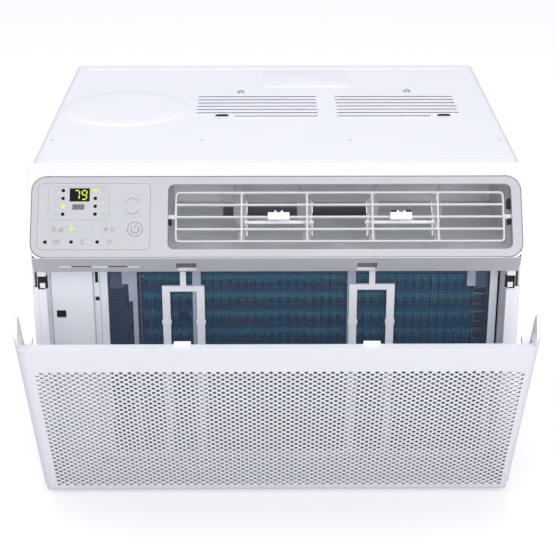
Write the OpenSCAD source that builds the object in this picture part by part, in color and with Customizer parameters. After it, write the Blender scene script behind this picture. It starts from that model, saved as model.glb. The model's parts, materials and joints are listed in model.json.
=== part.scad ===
// Window air conditioner with a tilting intake panel, open on its stop.
// Origin: centre of the base pan's underside. +X right, +Y back, +Z up. Millimetres.

/* [Cabinet] */
// Width of the steel cabinet
cab_w = 470; // [465:1:580]
// Depth of the steel cabinet, front edge to back edge
cab_d = 370; // [368:1:460]
// Height from the base pan's underside to the cabinet top
cab_h = 342; // [340:1:360]
// Thickness of the cabinet sheet
sheet = 1.0; // [0.8:0.1:1.2]
// Radius of the cabinet's two long top edges
cab_r = 9; // [4:1:14]
// Height of the base pan's upturned rim
rim_h = 26; // [18:1:34]

/* [Front] */
// Overhang of the plastic front past the cabinet, each side
front_over = 2; // [1:0.5:4]
// Lean of the control face from vertical
rake = 35; // [33:0.5:37]
// Length of the control face along its slope
face_len = 80.8; // [80:0.1:84]
// Length of the slanted underside below the lip
under_len = 23.3; // [20:0.1:26]
// Height of the shoulder above the control face
shoulder_h = 12; // [11:0.5:14]
// Depth of the side columns in front of the cabinet
column_d = 22; // [20:1:24]
// Width of each side column
column_w = 14; // [12:0.5:16]
// Width of the grey bezel
bezel_w = 465; // [460:1:466]
// Corner radius of the bezel
bezel_r = 14; // [8:1:18]
// Thickness of the bezel plate
bezel_t = 2.9; // [2.4:0.1:3]

/* [Louvre] */
// Width of the louvre frame
grid_w = 313.5; // [261:0.5:316]
// Height of the louvre frame along the control face
grid_h = 49.6; // [48:0.2:51]
// Width of a louvre bar
bar_w = 1.8; // [1.5:0.1:2.4]
// Gap from the louvre frame to the opening at each end
grid_gap = 6.5; // [6:0.5:8]
// Radius of the vane pivot pins
vane_pin_r = 1.5; // [1.2:0.1:1.8]
// Distance from a vane's pivot to its link pin
crank_r = 12; // [11.5:0.1:12.5]
// Angle of the vanes from straight ahead, at rest
vane_rest = 20; // [0:1:30]

/* [Intake panel] */
// Angle that the panel leans out on its stop
panel_open = 27.5; // [20:0.5:30]
// Height of the panel's face
panel_h = 239.2; // [236:0.2:240]
// Thickness of the panel's face
panel_t = 2.6; // [2:0.1:3.2]
// Radius of the panel's vertical edges
panel_r = 11; // [8:0.5:14]
// Radius of the panel's hinge pins
hinge_pin_r = 3; // [2.4:0.1:3.6]

/* [Filter] */
// Width of the filter frame
filter_w = 396.5; // [390:0.5:397]
// Height of the filter frame
filter_h = 222; // [216:1:222]
// Thickness of the filter frame
filter_t = 4; // [3:0.5:4.5]

/* [Cooling system] */
// Outer radius of a refrigerant tube
tube_r = 3.5; // [3:0.1:4.2]
// Spacing of the evaporator's tubes
evap_pitch = 20; // [18:0.5:20]
// Spacing of the condenser's tubes
cond_pitch = 25; // [22:0.5:25]
// Radius of the fan shaft
shaft_r = 4; // [3:0.1:5]
// Radius of the blower wheel
blower_r = 84; // [70:1:86]
// Radius of the condenser fan, over its slinger ring
axial_r = 108; // [100:1:110]
// Radius of the fan motor
motor_r = 42; // [38:1:46]
// Radius of the compressor's shell
comp_r = 52; // [46:1:55]
// Height of the compressor's shell
comp_h = 190; // [170:1:200]

/* [Controls] */
// Clearance round each key
key_gap = 0.3; // [0.2:0.05:0.4]

/* [Hidden] */
$fn = 48;

e = 0.01;
run_fit = 0.08;
gap = 0.3;
wall = 2.5;

front_y = -cab_d / 2;
back_y = cab_d / 2;
in_x = cab_w / 2 - sheet;
front_x = cab_w / 2 + front_over;

// The side profile is worked out in [distance in front of the cabinet, height from its top].
along = [sin(rake), -cos(rake)];
under = [-sin(rake), -cos(rake)];
normal = [cos(rake), sin(rake)];
face_top = [3, -shoulder_h];
lip = face_top + face_len * along;
under_end = lip + under_len * under;
head_base = -101;
column_x = front_x - column_w;
deep_d = -22;

// Where two lines meet, each a point and a direction
function meet(p, a, q, b) =
    let (det = a[0] * b[1] - a[1] * b[0], r = q - p)
    p + a * ((r[0] * b[1] - r[1] * b[0]) / det);
function in_world(p) = [front_y - p[0], cab_h + p[1]];

// Louvre places along the slope and behind the face
grid_mid = 39.4;
grid_w0 = -8;
grid_w1 = -4;
grid_cx = 60.2;
grid_x0 = grid_cx - grid_w / 2;
grid_x1 = grid_cx + grid_w / 2;
grid_axis_w = -6;
opening_s0 = 8.4;
opening_s1 = 72;
opening_x0 = grid_x0 - grid_gap;
opening_x1 = grid_x1 + grid_gap;
cell = (grid_w - bar_w) / 5;
bars_x = [for (i = [1:4]) grid_x0 + bar_w / 2 + i * cell];
vane_w = grid_w0 - 18;
vane_front = vane_w + crank_r + 3;
vane_back = vane_w - 24;
vane_t = 1.2;
shear = tan(rake);
grid_pin_r = 2.5;

// Control places: [X, distance down the slope]
overlay_x0 = -226;
overlay_x1 = -120;
overlay_t = 0.6;
keys = [["key_power", [-134, 52.4], "power"], ["key_up", [-136.6, 23.2], "up"],
    ["key_down", [-136.6, 36.3], "down"], ["key_mode", [-158.6, 52.4], "bar"],
    ["key_fan_speed", [-207.7, 52.4], "bar"], ["key_eco", [-182.7, 52.4], "bar"],
    ["key_filter", [-208.3, 64.8], "bar"], ["key_sleep", [-183.3, 64.8], "bar"],
    ["key_timer", [-158.3, 64.8], "bar"]];
lights = concat([for (x = [-202.7, -172.1], i = [0:3]) [x, 14.4 + 7.75 * i]],
    [[-193.8, 52.1], [-218.6, 64.8], [-194, 64.8], [-169.4, 64.8]]);
light_r = 1.6;
display_at = [-187, 18.7];
display_size = [18.8, 12.8];
receiver_at = [-188, 30.6];
receiver_size = [11, 5];
board_w = -11;

// Panel places
hinge = [30, 32.3 - cab_h];
panel_out = 16;
panel_d = hinge[0] + panel_out;
panel_low = hinge[1] - 27.6;
panel_top = panel_low + panel_h;
flange = [panel_d, panel_top] + 16 * [-cos(rake), -sin(rake)];
wing_t = 4.6;
latch_x = 86;
hook_rise = 3;

// Filter and coil places, from the front edge of the cabinet backwards
filter_x1 = column_x - 2.3;
filter_x0 = filter_x1 - filter_w;
filter_z0 = 12;
filter_y = front_y + 20;
rib_left = [-114.3, -71.9];
rib_right = [72.7, 118.2];
evap_y0 = front_y + 35;
evap_depth = 40;
evap_z0 = 18;
evap_x0 = filter_x0 + 39.8;
evap_x1 = column_x - 11;
evap_rows = 10;
evap_z = [for (i = [0:evap_rows - 1]) evap_z0 + 9 + evap_pitch * i];
evap_h = 18 + evap_pitch * (evap_rows - 1);
evap_cols = [evap_y0 + 10, evap_y0 + 30];
fin_t = 0.3;
fin_pitch = 16;
plate_t = 1.5;

// Air path places
orifice_y = evap_y0 + evap_depth + 3;
blower_y0 = orifice_y + 2 + 3;
blower_len = 42;
bulk_y = blower_y0 + blower_len + 6;
duct_floor = cab_h - 84;
duct_roof = cab_h - 6;
fan_x = 57;
fan_z = 150;
scroll_r0 = blower_r + 8;
scroll_grow = 20;
scroll_a0 = 60;
scroll_turn = 240;
hub_r = 14;

// Fan and condenser places, from the back edge of the cabinet forwards
cond_depth = 44;
cond_y0 = back_y - 18 - cond_depth;
cond_x0 = -90;
cond_x1 = in_x - 24;
cond_rows = 12;
cond_z0 = 16;
cond_z = [for (i = [0:cond_rows - 1]) cond_z0 + 9 + cond_pitch * i];
cond_h = 18 + cond_pitch * (cond_rows - 1);
cond_cols = [cond_y0 + 11, cond_y0 + 33];
shroud_y = cond_y0 - 6;
axial_len = 28;
axial_y0 = shroud_y - 3 - axial_len;
motor_y0 = bulk_y + 18;
motor_len = 74;
comp_x = 74 - in_x;
comp_y = bulk_y + comp_r + 4.3;
comp_z0 = 24;

// ---------- shared shapes ----------

module along_x(len) { rotate([90, 0, 90]) linear_extrude(len, center = true) children(); }
module along_y(y0, len) { translate([0, y0 + len, 0]) rotate([90, 0, 0]) linear_extrude(len) children(); }
module rod_y(y0, len, r) { translate([0, y0, 0]) rotate([-90, 0, 0]) cylinder(len, r = r); }
module rod_x(x0, len, r) { translate([x0, 0, 0]) rotate([0, 90, 0]) cylinder(len, r = r); }
module block(a, b) { translate(a) cube(b - a); }
// Rounded rectangle from exact squares and circles
module round_rect(w, h, r) {
    square([w - 2 * r, h], center = true);
    square([w, h - 2 * r], center = true);
    for (x = [-1, 1], y = [-1, 1]) translate([x * (w / 2 - r), y * (h / 2 - r)]) circle(r);
}
// The control face's own frame: x across, y up the slope, z out of the face
module on_face() {
    translate([0, front_y - face_top[0], cab_h + face_top[1]]) rotate([90 - rake, 0, 0]) children();
}
module profile(points) { polygon([for (p = points) in_world(p)]); }
// A bent tube through a list of points
module tube(points, r) {
    for (i = [0:len(points) - 2]) {
        a = points[i];
        b = points[i + 1];
        d = b - a;
        translate(a)
            rotate([0, acos(d[2] / norm(d)), atan2(d[1], d[0])])
            cylinder(norm(d), r = r);
        if (i > 0) translate(a) sphere(r * 1.06);
    }
}
module half_bend(r, tube) { rotate_extrude(angle = 180) translate([r, 0]) circle(tube); }
// Fin plates with a hole for each tube
module fin_stack(x0, x1, y0, z0, depth, high, cols, rows) {
    n = floor((x1 - x0 - 4) / fin_pitch);
    for (i = [0:n])
        translate([x0 + 2 + i * fin_pitch, 0, 0]) rotate([90, 0, 90]) linear_extrude(fin_t)
            coil_plate(y0, z0, depth, high, cols, rows);
}
module coil_plate(y0, z0, depth, high, cols, rows) {
    difference() {
        translate([y0, z0]) square([depth, high]);
        for (y = cols, z = rows) translate([y, z]) circle(tube_r + run_fit);
    }
}
// Straight tubes joined by return bends, first at one end and then at the other
module serpentine(x0, x1, cols, rows, pitch) {
    for (y = cols) {
        for (z = rows) translate([0, y, z]) rod_x(x0, x1 - x0, tube_r);
        for (i = [0:len(rows) - 2])
            translate([i % 2 == 1 ? x0 : x1, y, rows[i] + pitch / 2])
                rotate([90, i % 2 == 1 ? -90 : 90, 0]) half_bend(pitch / 2, tube_r);
    }
}

// ---------- cabinet ----------

module base_pan() color("lightslategray") {
    x = in_x - 0.4;
    y0 = front_y + 1;
    y1 = back_y - 1;
    difference() {
        block([-x, y0, 0], [x, y1, rim_h]);
        block([-x + sheet, y0 + sheet, sheet], [x - sheet, y1 - sheet, rim_h + 1]);
        // the front rim is low, under the plastic sill
        block([-x + sheet, y0 - 1, 5], [x - sheet, y0 + 2, rim_h + 1]);
        block([-x - 1, y0 - 1, 5], [x + 1, y0 + 4, rim_h + 1]);
        for (p = side_screws, side = [-1, 1])
            translate([0, p[0], p[1]]) rod_x(side > 0 ? x - 3 : -x - 3, 6, screw_r + 0.1);
        // drain hole in the back rim
        translate([in_x - 44, 0, 12]) rod_y(y1 - 4, 8, 6);
    }
}

slot_rows = 7;
slot_pitch = 12.5;
slot_y0 = front_y + 156;
slot_h = 3.4;
slot_groups = [[-83, 43.5, -42, 43.5], [66, 193, 66, 162]];
catch_slots = [-56.3, 176.8];
side_slot_rows = [110, 200];
side_slot_y0 = front_y + 210;
side_slot_pitch = 13;
module cabinet_outline(grow) {
    difference() {
        translate([0, cab_h / 2]) round_rect(cab_w + 2 * grow, cab_h + 2 * grow, cab_r + grow);
        translate([-cab_w, -1]) square([2 * cab_w, 1 + 4]);
    }
}
module cabinet_shell() color("whitesmoke") {
    difference() {
        along_y(front_y, cab_d) difference() {
            cabinet_outline(0);
            cabinet_outline(-sheet);
            translate([-in_x, -1]) square([2 * in_x, 60]);
        }
        for (i = [0:slot_rows - 1]) {
            y = slot_y0 + i * slot_pitch;
            // the front row of each group is shorter
            for (g = slot_groups)
                block([g[i == 0 ? 2 : 0], y, cab_h - 3], [g[i == 0 ? 3 : 1], y + slot_h, cab_h + 3]);
        }
        // two catch slots beside the front louvres
        for (x = catch_slots)
            translate([x, slot_y0 + 3.6, cab_h]) cube([14.8, 3.2, 6], center = true);
        // side louvres over the condenser section
        for (side = [-1, 1], z = side_slot_rows, i = [0:9])
            translate([side * cab_w / 2, side_slot_y0 + side_slot_pitch * i, z])
                cube([8, 4, 70], center = true);
        for (x = rail_holes) translate([x, front_y + rail_back, cab_h - 3]) cylinder(6, r = rail_r);
        for (p = top_screws) translate([p[0], p[1], cab_h - 3]) cylinder(6, r = screw_r + 0.1);
        for (p = side_screws, side = [-1, 1])
            translate([0, p[0], p[1]]) rod_x(side > 0 ? in_x - 1 : -in_x - 4, 5, screw_r + 0.1);
        // notch that drops over the inlet grommet, with an eight-sided top that keeps it from turning
        translate([in_x - 2, inlet_y, inlet_z]) rotate([0, 90, 0])
            cylinder(6, r = inlet_notch / cos(22.5), $fn = 8);
        block([in_x - 2, inlet_y - inlet_notch, 0], [in_x + 4, inlet_y + inlet_notch, inlet_z]);
    }
    // rolled flange round the open back
    along_y(back_y - 1 - sheet, sheet) difference() {
        intersection() {
            cabinet_outline(-sheet / 2);
            translate([-cab_w, rim_h + 2]) square([2 * cab_w, cab_h]);
        }
        translate([-in_x + 12, 0]) square([2 * in_x - 24, cab_h - 14]);
    }
    // raised round over the compressor
    translate([comp_x, comp_y, cab_h - e]) cylinder(0.8, r = 60, $fn = 96);
}

rail_holes = [-223.5, -74, 74, 223.5];
rail_back = 73;
rail_r = 1.8;
screw_r = 1.7;
top_screws = [[-38, front_y + 249], [146, front_y + 252]];
side_screws = [[front_y + 50, 18], [back_y - 30, 18]];
module screw() {
    cylinder(2.2, r = 3.8);
    translate([0, 0, -5]) cylinder(5.1, r = screw_r);
}
module cabinet_screws() color("silver") {
    for (p = top_screws) translate([p[0], p[1], cab_h]) screw();
    for (p = side_screws, side = [-1, 1])
        translate([side * cab_w / 2, p[0], p[1]]) rotate([0, 90 * side, 0]) screw();
}

// ---------- front ----------

module head_profile() {
    profile([[0, 0], [1.5, -0.8], face_top, lip, lip + 2 * under, under_end, [column_d, head_base],
        [0, head_base]]);
}
// Inside of the head: the slope wall is 5.5 thick, the underside is one wall thick
module head_hollow() {
    slope = face_top - 5.5 * normal;
    low = lip + wall * [-cos(rake), sin(rake)];
    top = meet(slope, along, [0.6, 0], [0, 1]);
    nose = meet(slope, along, low, under);
    end = meet(low, under, [0, head_base + wall + 2], [1, 0]);
    profile([[-1, top[1]], top, nose, end, [column_d - 1, head_base + wall], [-1, head_base + wall]]);
}
module front_frame() color("white") {
    difference() {
        union() {
            along_x(2 * front_x) head_profile();
            // ceiling of the intake recess
            block([-column_x, front_y - 1, cab_h + head_base],
                [column_x, front_y - deep_d, cab_h + head_base + wall]);
            for (side = [-1, 1]) {
                // column, with a foot that carries the hinge
                along_x_at(side * (front_x - column_w / 2), column_w)
                    profile([[0, head_base], [column_d, head_base], [column_d, 70 - cab_h],
                        [hinge[0] + 7, 44 - cab_h], [hinge[0] + 7, hinge[1] - 6],
                        [hinge[0], hinge[1] - 9], [column_d, 6 - cab_h], [0, 6 - cab_h]]);
                // deep side wall
                along_x_at(side * (column_x + 1), 2)
                    profile([[column_d, head_base + 1], [deep_d, head_base + 1], [deep_d, 6 - cab_h],
                        [column_d, 6 - cab_h]]);
            }
            // sill
            along_x(2 * column_x + 1) profile([[column_d, 16 - cab_h], [column_d - 3, 16 - cab_h],
                [column_d - 3, 9 - cab_h], [deep_d, 9 - cab_h], [deep_d, 6 - cab_h],
                [column_d, 6 - cab_h]]);
        }
        along_x(2 * front_x - 8) head_hollow();
        // the columns are hollow from behind
        for (side = [-1, 1])
            along_x_at(side * (front_x - column_w / 2 + 0.6), column_w - 5)
                profile([[column_d - 3, head_base - 3], [-1, head_base - 3], [-1, 9 - cab_h],
                    [column_d - 3, 9 - cab_h]]);
        // window and pocket for the bezel
        on_face() {
            translate([0, -face_len / 2, -8]) linear_extrude(10)
                round_rect(bezel_w - 12, face_len - 8, 3);
            translate([0, -face_len / 2 + 0.1, -bezel_t - 0.1]) linear_extrude(8)
                round_rect(bezel_w + 2 * gap, face_len - 1.4, bezel_r);
        }
        // recess for the panel's wings and the hinge side
        for (side = [-1, 1]) {
            along_x_at(side * (front_x + 5), 2 * (5 + wing_t + 1.2))
                profile([[15, -72], [60, -72], [60, -120], [15, -120]]);
            along_x_at(side * (front_x + 5), 2 * (5 + wing_t + 1.2))
                profile([[19.5, -119], [60, -119], [60, -cab_h], [19.5, -cab_h]]);
            // latch slot for the panel's snap post
            along_x_at(side * (column_x + 4), 10)
                profile([[column_d - 6, -108], [column_d + 1, -108], [column_d + 1, -122],
                    [column_d - 6, -122]]);
            // pin socket
            translate([0, front_y - hinge[0], cab_h + hinge[1]])
                rod_x(side > 0 ? column_x - 1 : -column_x - 8.6, 9.6, hinge_pin_r + run_fit);
        }
        // slots in the underside for the panel's two hooks
        for (side = [-1, 1])
            along_x_at(side * latch_x, 19)
                profile([[24, head_base - 1], [24, -88], [42, -80], [46, -92]]);
    }
}
module along_x_at(x, len) { translate([x, 0, 0]) along_x(len) children(); }

module bezel() color("lightgray") {
    on_face() difference() {
        union() {
            translate([0, -face_len / 2 + 0.1, -bezel_t]) linear_extrude(bezel_t)
                round_rect(bezel_w, face_len - 2, bezel_r - 0.3);
            // cheeks that carry the louvre frame's pivots
            for (x = [opening_x0 - 2.4, opening_x1])
                block([x, -opening_s1, -14], [x + 2.4, -opening_s0, -bezel_t + 0.1]);
        }
        block([opening_x0, -opening_s1 + 6, -20], [opening_x1, -opening_s0 - 6, 5]);
        block([opening_x0 + 6, -opening_s1, -20], [opening_x1 - 6, -opening_s0, 5]);
        for (x = [opening_x0 + 6, opening_x1 - 6], y = [-opening_s1 + 6, -opening_s0 - 6])
            translate([x, y, -20]) cylinder(25, r = 6);
        translate([opening_x0 - 5, -grid_mid, grid_axis_w]) rod_x(0, grid_w + 26, grid_pin_r + run_fit);
        // shallow seat for the overlay
        translate([(overlay_x0 + overlay_x1) / 2, -39.8, -overlay_t]) linear_extrude(3)
            round_rect(overlay_x1 - overlay_x0 + 0.4, 65, 5);
        control_cuts(gap);
    }
}
module control_overlay() color("gainsboro") {
    on_face() difference() {
        translate([(overlay_x0 + overlay_x1) / 2, -39.8, -overlay_t]) linear_extrude(overlay_t)
            round_rect(overlay_x1 - overlay_x0, 64.6, 4.8);
        control_cuts(gap);
    }
}
// Holes for the keys, the lights and the two windows
module control_cuts(clear) {
    for (k = keys) translate([k[1][0], -k[1][1], -8]) linear_extrude(12) key_shape(k[2], key_gap);
    for (p = lights) translate([p[0], -p[1], -8]) cylinder(12, r = light_r + 0.1);
    for (w = [[display_at, display_size], [receiver_at, receiver_size]])
        translate([w[0][0], -w[0][1], 0])
            cube([w[1][0] + clear, w[1][1] + clear, 16], center = true);
}
module key_shape(kind, grow) {
    if (kind == "power") circle(7.6 + grow);
    else if (kind == "bar") round_rect(16.4 + 2 * grow, 6.4 + 2 * grow, 1.8);
    else round_rect(14 + 2 * grow, 8 + 2 * grow, 2.5);
}
module key_cap(k) color("gainsboro") {
    on_face() translate([k[1][0], -k[1][1], 0]) {
        translate([0, 0, -1.8]) linear_extrude(2) key_shape(k[2], 0);
        translate([0, 0, -7]) cylinder(5.4, r = 1.5);
    }
}
module display_windows() color("black") {
    on_face() for (w = [[display_at, display_size], [receiver_at, receiver_size]])
        translate([w[0][0], -w[0][1], -4]) cube([w[1][0], w[1][1], 7.6], center = true);
}
module indicator_lights() color("black") {
    on_face() for (p = lights) translate([p[0], -p[1], board_w + 1.8]) cylinder(9.2, r = light_r);
}
module control_board() color("darkgreen") {
    on_face() {
        block([overlay_x0 + 4, -69, board_w], [overlay_x1 - 3, -12, board_w + 1.6]);
        for (k = keys) translate([k[1][0], -k[1][1], board_w + 2.2]) cube([5, 4.6, 1.4], center = true);
    }
}

// ---------- louvre ----------

module louver_frame() color("whitesmoke") {
    on_face() difference() {
        union() {
            // rim and cross bars
            translate([grid_cx, -grid_mid, grid_w0]) linear_extrude(grid_w1 - grid_w0) difference() {
                round_rect(grid_w, grid_h, 4.5);
                round_rect(grid_w - 2 * bar_w, grid_h - 2 * bar_w, 2.7);
            }
            for (i = [-1:1])
                translate([grid_cx, -grid_mid + i * (grid_h - bar_w) / 4, (grid_w0 + grid_w1) / 2])
                    cube([grid_w - bar_w, bar_w, grid_w1 - grid_w0], center = true);
            for (x = bars_x)
                translate([x, -grid_mid, (grid_w0 + grid_w1) / 2])
                    cube([bar_w, grid_h - bar_w, grid_w1 - grid_w0], center = true);
            for (x = bars_x, top = [true, false]) pivot_arm(x, top);
            // end pins
            translate([0, -grid_mid, grid_axis_w]) {
                rod_x(grid_x0 - grid_gap - 2.2, grid_gap + 3, grid_pin_r);
                rod_x(grid_x1 - 0.8, grid_gap + 3, grid_pin_r);
            }
        }
        for (x = bars_x)
            translate([x, -grid_mid - 60, vane_w])
                rotate([-90, 0, 0]) cylinder(120, r = vane_pin_r + run_fit);
    }
}
// Height up the slope of the top and bottom of the vanes at depth w
function vane_top(w) = -grid_mid + 17 + shear * (vane_front - w);
function vane_bot(w) = -grid_mid - 17 + shear * (vane_front - w);
// Arm from the frame's rim back to a vane pin
module pivot_arm(x, top) {
    y0 = -grid_mid + (top ? 1 : -1) * (grid_h / 2 - 1.2);
    y1 = top ? vane_top(vane_w) + 1.4 : vane_bot(vane_w) - 1.4;
    w = vane_w - 4;
    translate([x + 3.5, 0, 0]) rotate([0, -90, 0]) linear_extrude(7)
        polygon([[grid_w0 + 0.5, y0 - 1.2], [grid_w0 + 0.5, y0 + 1.2], [w + 5, y1 + 1.2],
            [w, y1 + 1.2], [w, y1 - 1.2], [w + 5, y1 - 1.2]]);
}
function rest_of(i) = i < 2 ? vane_rest : -vane_rest;
module at_vane(i) { on_face() translate([bars_x[i], 0, vane_w]) rotate([0, rest_of(i), 0]) children(); }
notch_h = 11;
module vane(i) color("silver") {
    at_vane(i) {
        difference() {
            translate([vane_t / 2, 0, -vane_w]) rotate([0, -90, 0]) linear_extrude(vane_t)
                polygon([[vane_front, vane_top(vane_front)], [vane_front, vane_bot(vane_front)],
                    [vane_back, vane_bot(vane_back)], [vane_back, vane_top(vane_back)]]);
            translate([0, -grid_mid, crank_r]) cube([10, notch_h, 9], center = true);
            // room for the pivot arms
            translate([0, vane_top(vane_w) - 0.4, 0]) rotate([-90, 0, 0]) cylinder(20, r = 7.5);
            translate([0, vane_bot(vane_w) + 0.4, 0]) rotate([90, 0, 0]) cylinder(20, r = 7.5);
        }
        // pivot pin, top and bottom
        for (top = [0, 1]) {
            y = top == 1 ? vane_top(vane_w) - 6 : vane_bot(vane_w) - 3.6;
            translate([0, y, 0]) rotate([-90, 0, 0]) cylinder(9.6, r = vane_pin_r);
        }
        // link pin across the notch
        translate([0, -grid_mid - notch_h / 2 - 1, crank_r])
            rotate([-90, 0, 0]) cylinder(notch_h + 2, r = 1.2);
    }
}
link_h = 3;
link_y = -grid_mid - 4.4;
module vane_link(first) color("gainsboro") {
    a = rest_of(first);
    dx = crank_r * sin(a);
    w = vane_w + crank_r * cos(a);
    on_face() translate([0, link_y, 0]) {
        difference() {
            union() {
                for (i = [first, first + 1])
                    translate([bars_x[i] + dx, 0, w]) rotate([-90, 0, 0]) cylinder(link_h, r = 2.8);
                block([bars_x[first] + dx, 0, w - 1.4], [bars_x[first + 1] + dx, link_h, w + 1.4]);
                // peg that the slider's fork straddles
                translate([(bars_x[first] + bars_x[first + 1]) / 2 + dx, 0, w])
                    rotate([-90, 0, 0]) cylinder(10.6, r = 1.5);
            }
            for (i = [first, first + 1])
                translate([bars_x[i] + dx, -1, w])
                    rotate([-90, 0, 0]) cylinder(link_h + 2, r = 1.2 + run_fit);
        }
    }
}
slider_gap = 0.6;
module vane_slider(first) color("white") {
    x = (bars_x[first] + bars_x[first + 1]) / 2 + crank_r * sin(rest_of(first));
    on_face() {
        block([x - 10.3, -grid_mid - 3.6, grid_w1 + 0.35], [x + 10.3, -grid_mid + 3.6, grid_w1 + 3]);
        for (side = [-1, 1]) {
            inner = 1.5 + slider_gap;
            block([x + (side > 0 ? inner : -inner - 2), -grid_mid + bar_w / 2 + 0.4, vane_w + crank_r - 6],
                [x + (side > 0 ? inner + 2 : -inner), -grid_mid + 5.4, grid_w1 + 3]);
        }
        for (i = [-1:1])
            translate([x + 3.4 * i, -grid_mid, grid_w1 + 3]) cube([1.2, 6, 1], center = true);
    }
}

// ---------- intake panel ----------

module leaning() {
    translate([0, front_y - hinge[0], cab_h + hinge[1]])
        rotate([panel_open, 0, 0])
        translate([0, hinge[0] - front_y, -cab_h - hinge[1]]) children();
}
// Plan outline of the panel, open at the back, with its front corners rounded
module panel_plan(side_in, front_in) {
    r = panel_r - side_in;
    x = front_x - side_in;
    y = front_y - panel_d + front_in;
    translate([r - x, y]) square([2 * (x - r), 60]);
    translate([-x, y + r]) square([2 * x, 60]);
    for (side = [-1, 1]) translate([side * (x - r), y + r]) circle(r);
}
module panel_blank(side_in, front_in) {
    translate([0, 0, cab_h + panel_low - 1]) linear_extrude(panel_h + 30) panel_plan(side_in, front_in);
}
module intake_panel() color("white") {
    back = panel_d - panel_t;
    top_line = [cos(rake), sin(rake)];
    leaning() difference() {
        union() {
            difference() {
                intersection() {
                    panel_blank(0, 0);
                    union() {
                        // bottom return and top flange
                        along_x(2 * front_x) profile([[panel_d, panel_top], [panel_d, panel_low + 5],
                            [panel_d - 1.5, panel_low + 1.5], [panel_d - 5, panel_low],
                            [panel_d - 7, panel_low], [panel_d - 7, panel_low + panel_t],
                            [back - 1, panel_low + panel_t], [back, panel_low + 6], [back, panel_top - 6],
                            flange - [0, panel_t], flange]);
                        // sides that rise into wings
                        along_x(2 * front_x) profile([[panel_d, panel_top], [41, -87], [27, -76], [22, -79],
                            [20.5, -92], [20.5, panel_low + 40], [panel_d - 16, panel_low + 8],
                            [panel_d, panel_low + 8]]);
                    }
                }
                // hollow between the sides, under the flange and over it
                difference() {
                    panel_blank(wing_t, panel_t);
                    along_x(3 * front_x) profile([[60, panel_top], [panel_d, panel_top], flange,
                        flange - [0, panel_t], [back, panel_top - 6], [back, panel_low + 6],
                        [back - 1, panel_low + panel_t], [panel_d - 7, panel_low + panel_t],
                        [panel_d - 7, panel_low - 9], [60, panel_low - 9]]);
                }
                along_x(2 * (front_x - wing_t))
                    profile([[panel_d, panel_top] + 3 * top_line, [panel_d, panel_top], flange, [10, -120],
                        [10, -60], [60, -60]]);
                // rounded bottom corners
                for (side = [-1, 1])
                    translate([side * front_x, 0, cab_h + panel_low]) rotate([90, 0, 0])
                        linear_extrude(2 * cab_d) difference() {
                            square(16, center = true);
                            translate([-side * 8, 8]) circle(8);
                        }
            }
            for (side = [-1, 1]) {
                // hinge ear
                along_x_at(side * (column_x - 4.2), 3)
                    profile([[back + 1, hinge[1] + 16], [hinge[0], hinge[1] + 8],
                        [hinge[0] - 7, hinge[1] + 2], [hinge[0] - 7, hinge[1] - 4],
                        [hinge[0], hinge[1] - 8], [back + 1, hinge[1] - 16]]);
                // snap post
                along_x_at(side * (column_x + 4), 6)
                    profile([[back + 1, -112], [column_d - 3, -112], [column_d - 3, -118], [back + 1, -118]]);
                // hook
                along_x_at(side * latch_x, 15.6)
                    profile([flange + [5, 1.2], flange + [5, -panel_t - 2], flange + [-1.2, -panel_t - 2],
                        flange + [-1.2, hook_rise], flange + [1.6, hook_rise]]);
            }
        }
        for (side = [-1, 1])
            translate([0, front_y - hinge[0], cab_h + hinge[1]])
                rod_x(side > 0 ? column_x - 8 : -column_x, 8, hinge_pin_r + run_fit);
    }
}
module panel_hinge_pins() color("silver") {
    for (side = [-1, 1])
        translate([0, front_y - hinge[0], cab_h + hinge[1]]) {
            rod_x(side > 0 ? column_x - 6.4 : -column_x - 8.4, 14.8, hinge_pin_r);
        }
}

// ---------- filter ----------

module pi_rib(rib, top) {
    leg = 8;
    bar = 6;
    z_top = cab_h + top;
    mid = (rib[0] + rib[1]) / 2;
    for (x = [rib[0], rib[1] - leg])
        block([x, filter_y - filter_t, filter_z0 + 4], [x + leg, filter_y - 0.8, z_top]);
    block([rib[0], filter_y - filter_t, z_top - bar], [rib[1], filter_y - 0.8, z_top]);
    block([mid - 3, filter_y - filter_t + 0.4, z_top - 1],
        [mid + 3, filter_y - 0.8, filter_z0 + filter_h - 4]);
    // grip collars
    for (x = [rib[0], rib[1] - leg])
        block([x - 0.8, filter_y - filter_t - 1.4, cab_h - 176], [x + leg + 0.8, filter_y - 1, cab_h - 171]);
}
module filter_frame() color("white") {
    difference() {
        block([filter_x0, filter_y - filter_t, filter_z0], [filter_x1, filter_y, filter_z0 + filter_h]);
        block([filter_x0 + 7.5, filter_y - 10, filter_z0 + 8],
            [filter_x1 - 7.5, filter_y + 10, filter_z0 + filter_h - 10]);
    }
    pi_rib(rib_left, -134.2);
    pi_rib(rib_right, -132.6);
}
module filter_mesh() color("darkslategray")
    block([filter_x0 + 3, filter_y + 0.02, filter_z0 + 3],
        [filter_x1 - 3, filter_y + 0.6, filter_z0 + filter_h - 3]);
module filter_guides() color("lightgray") {
    y0 = filter_y + 9;
    for (x = [-84, 71])
        block([x, y0, 18], [x + 8.5, y0 + 3, filter_z0 + filter_h - 2]);
    for (x = [filter_x0 + 8, filter_x1 - 22])
        block([x, y0, filter_z0 + filter_h - 34], [x + 14, y0 + 3, filter_z0 + filter_h - 6]);
    block([filter_x0, y0, filter_z0 + filter_h - 6], [filter_x1, y0 + 3, filter_z0 + filter_h - 2]);
    block([filter_x0, y0, 16], [filter_x1, y0 + 3, 20]);
}
cover_x0 = gap - column_x;
cover_x1 = filter_x0 - 6;
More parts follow.
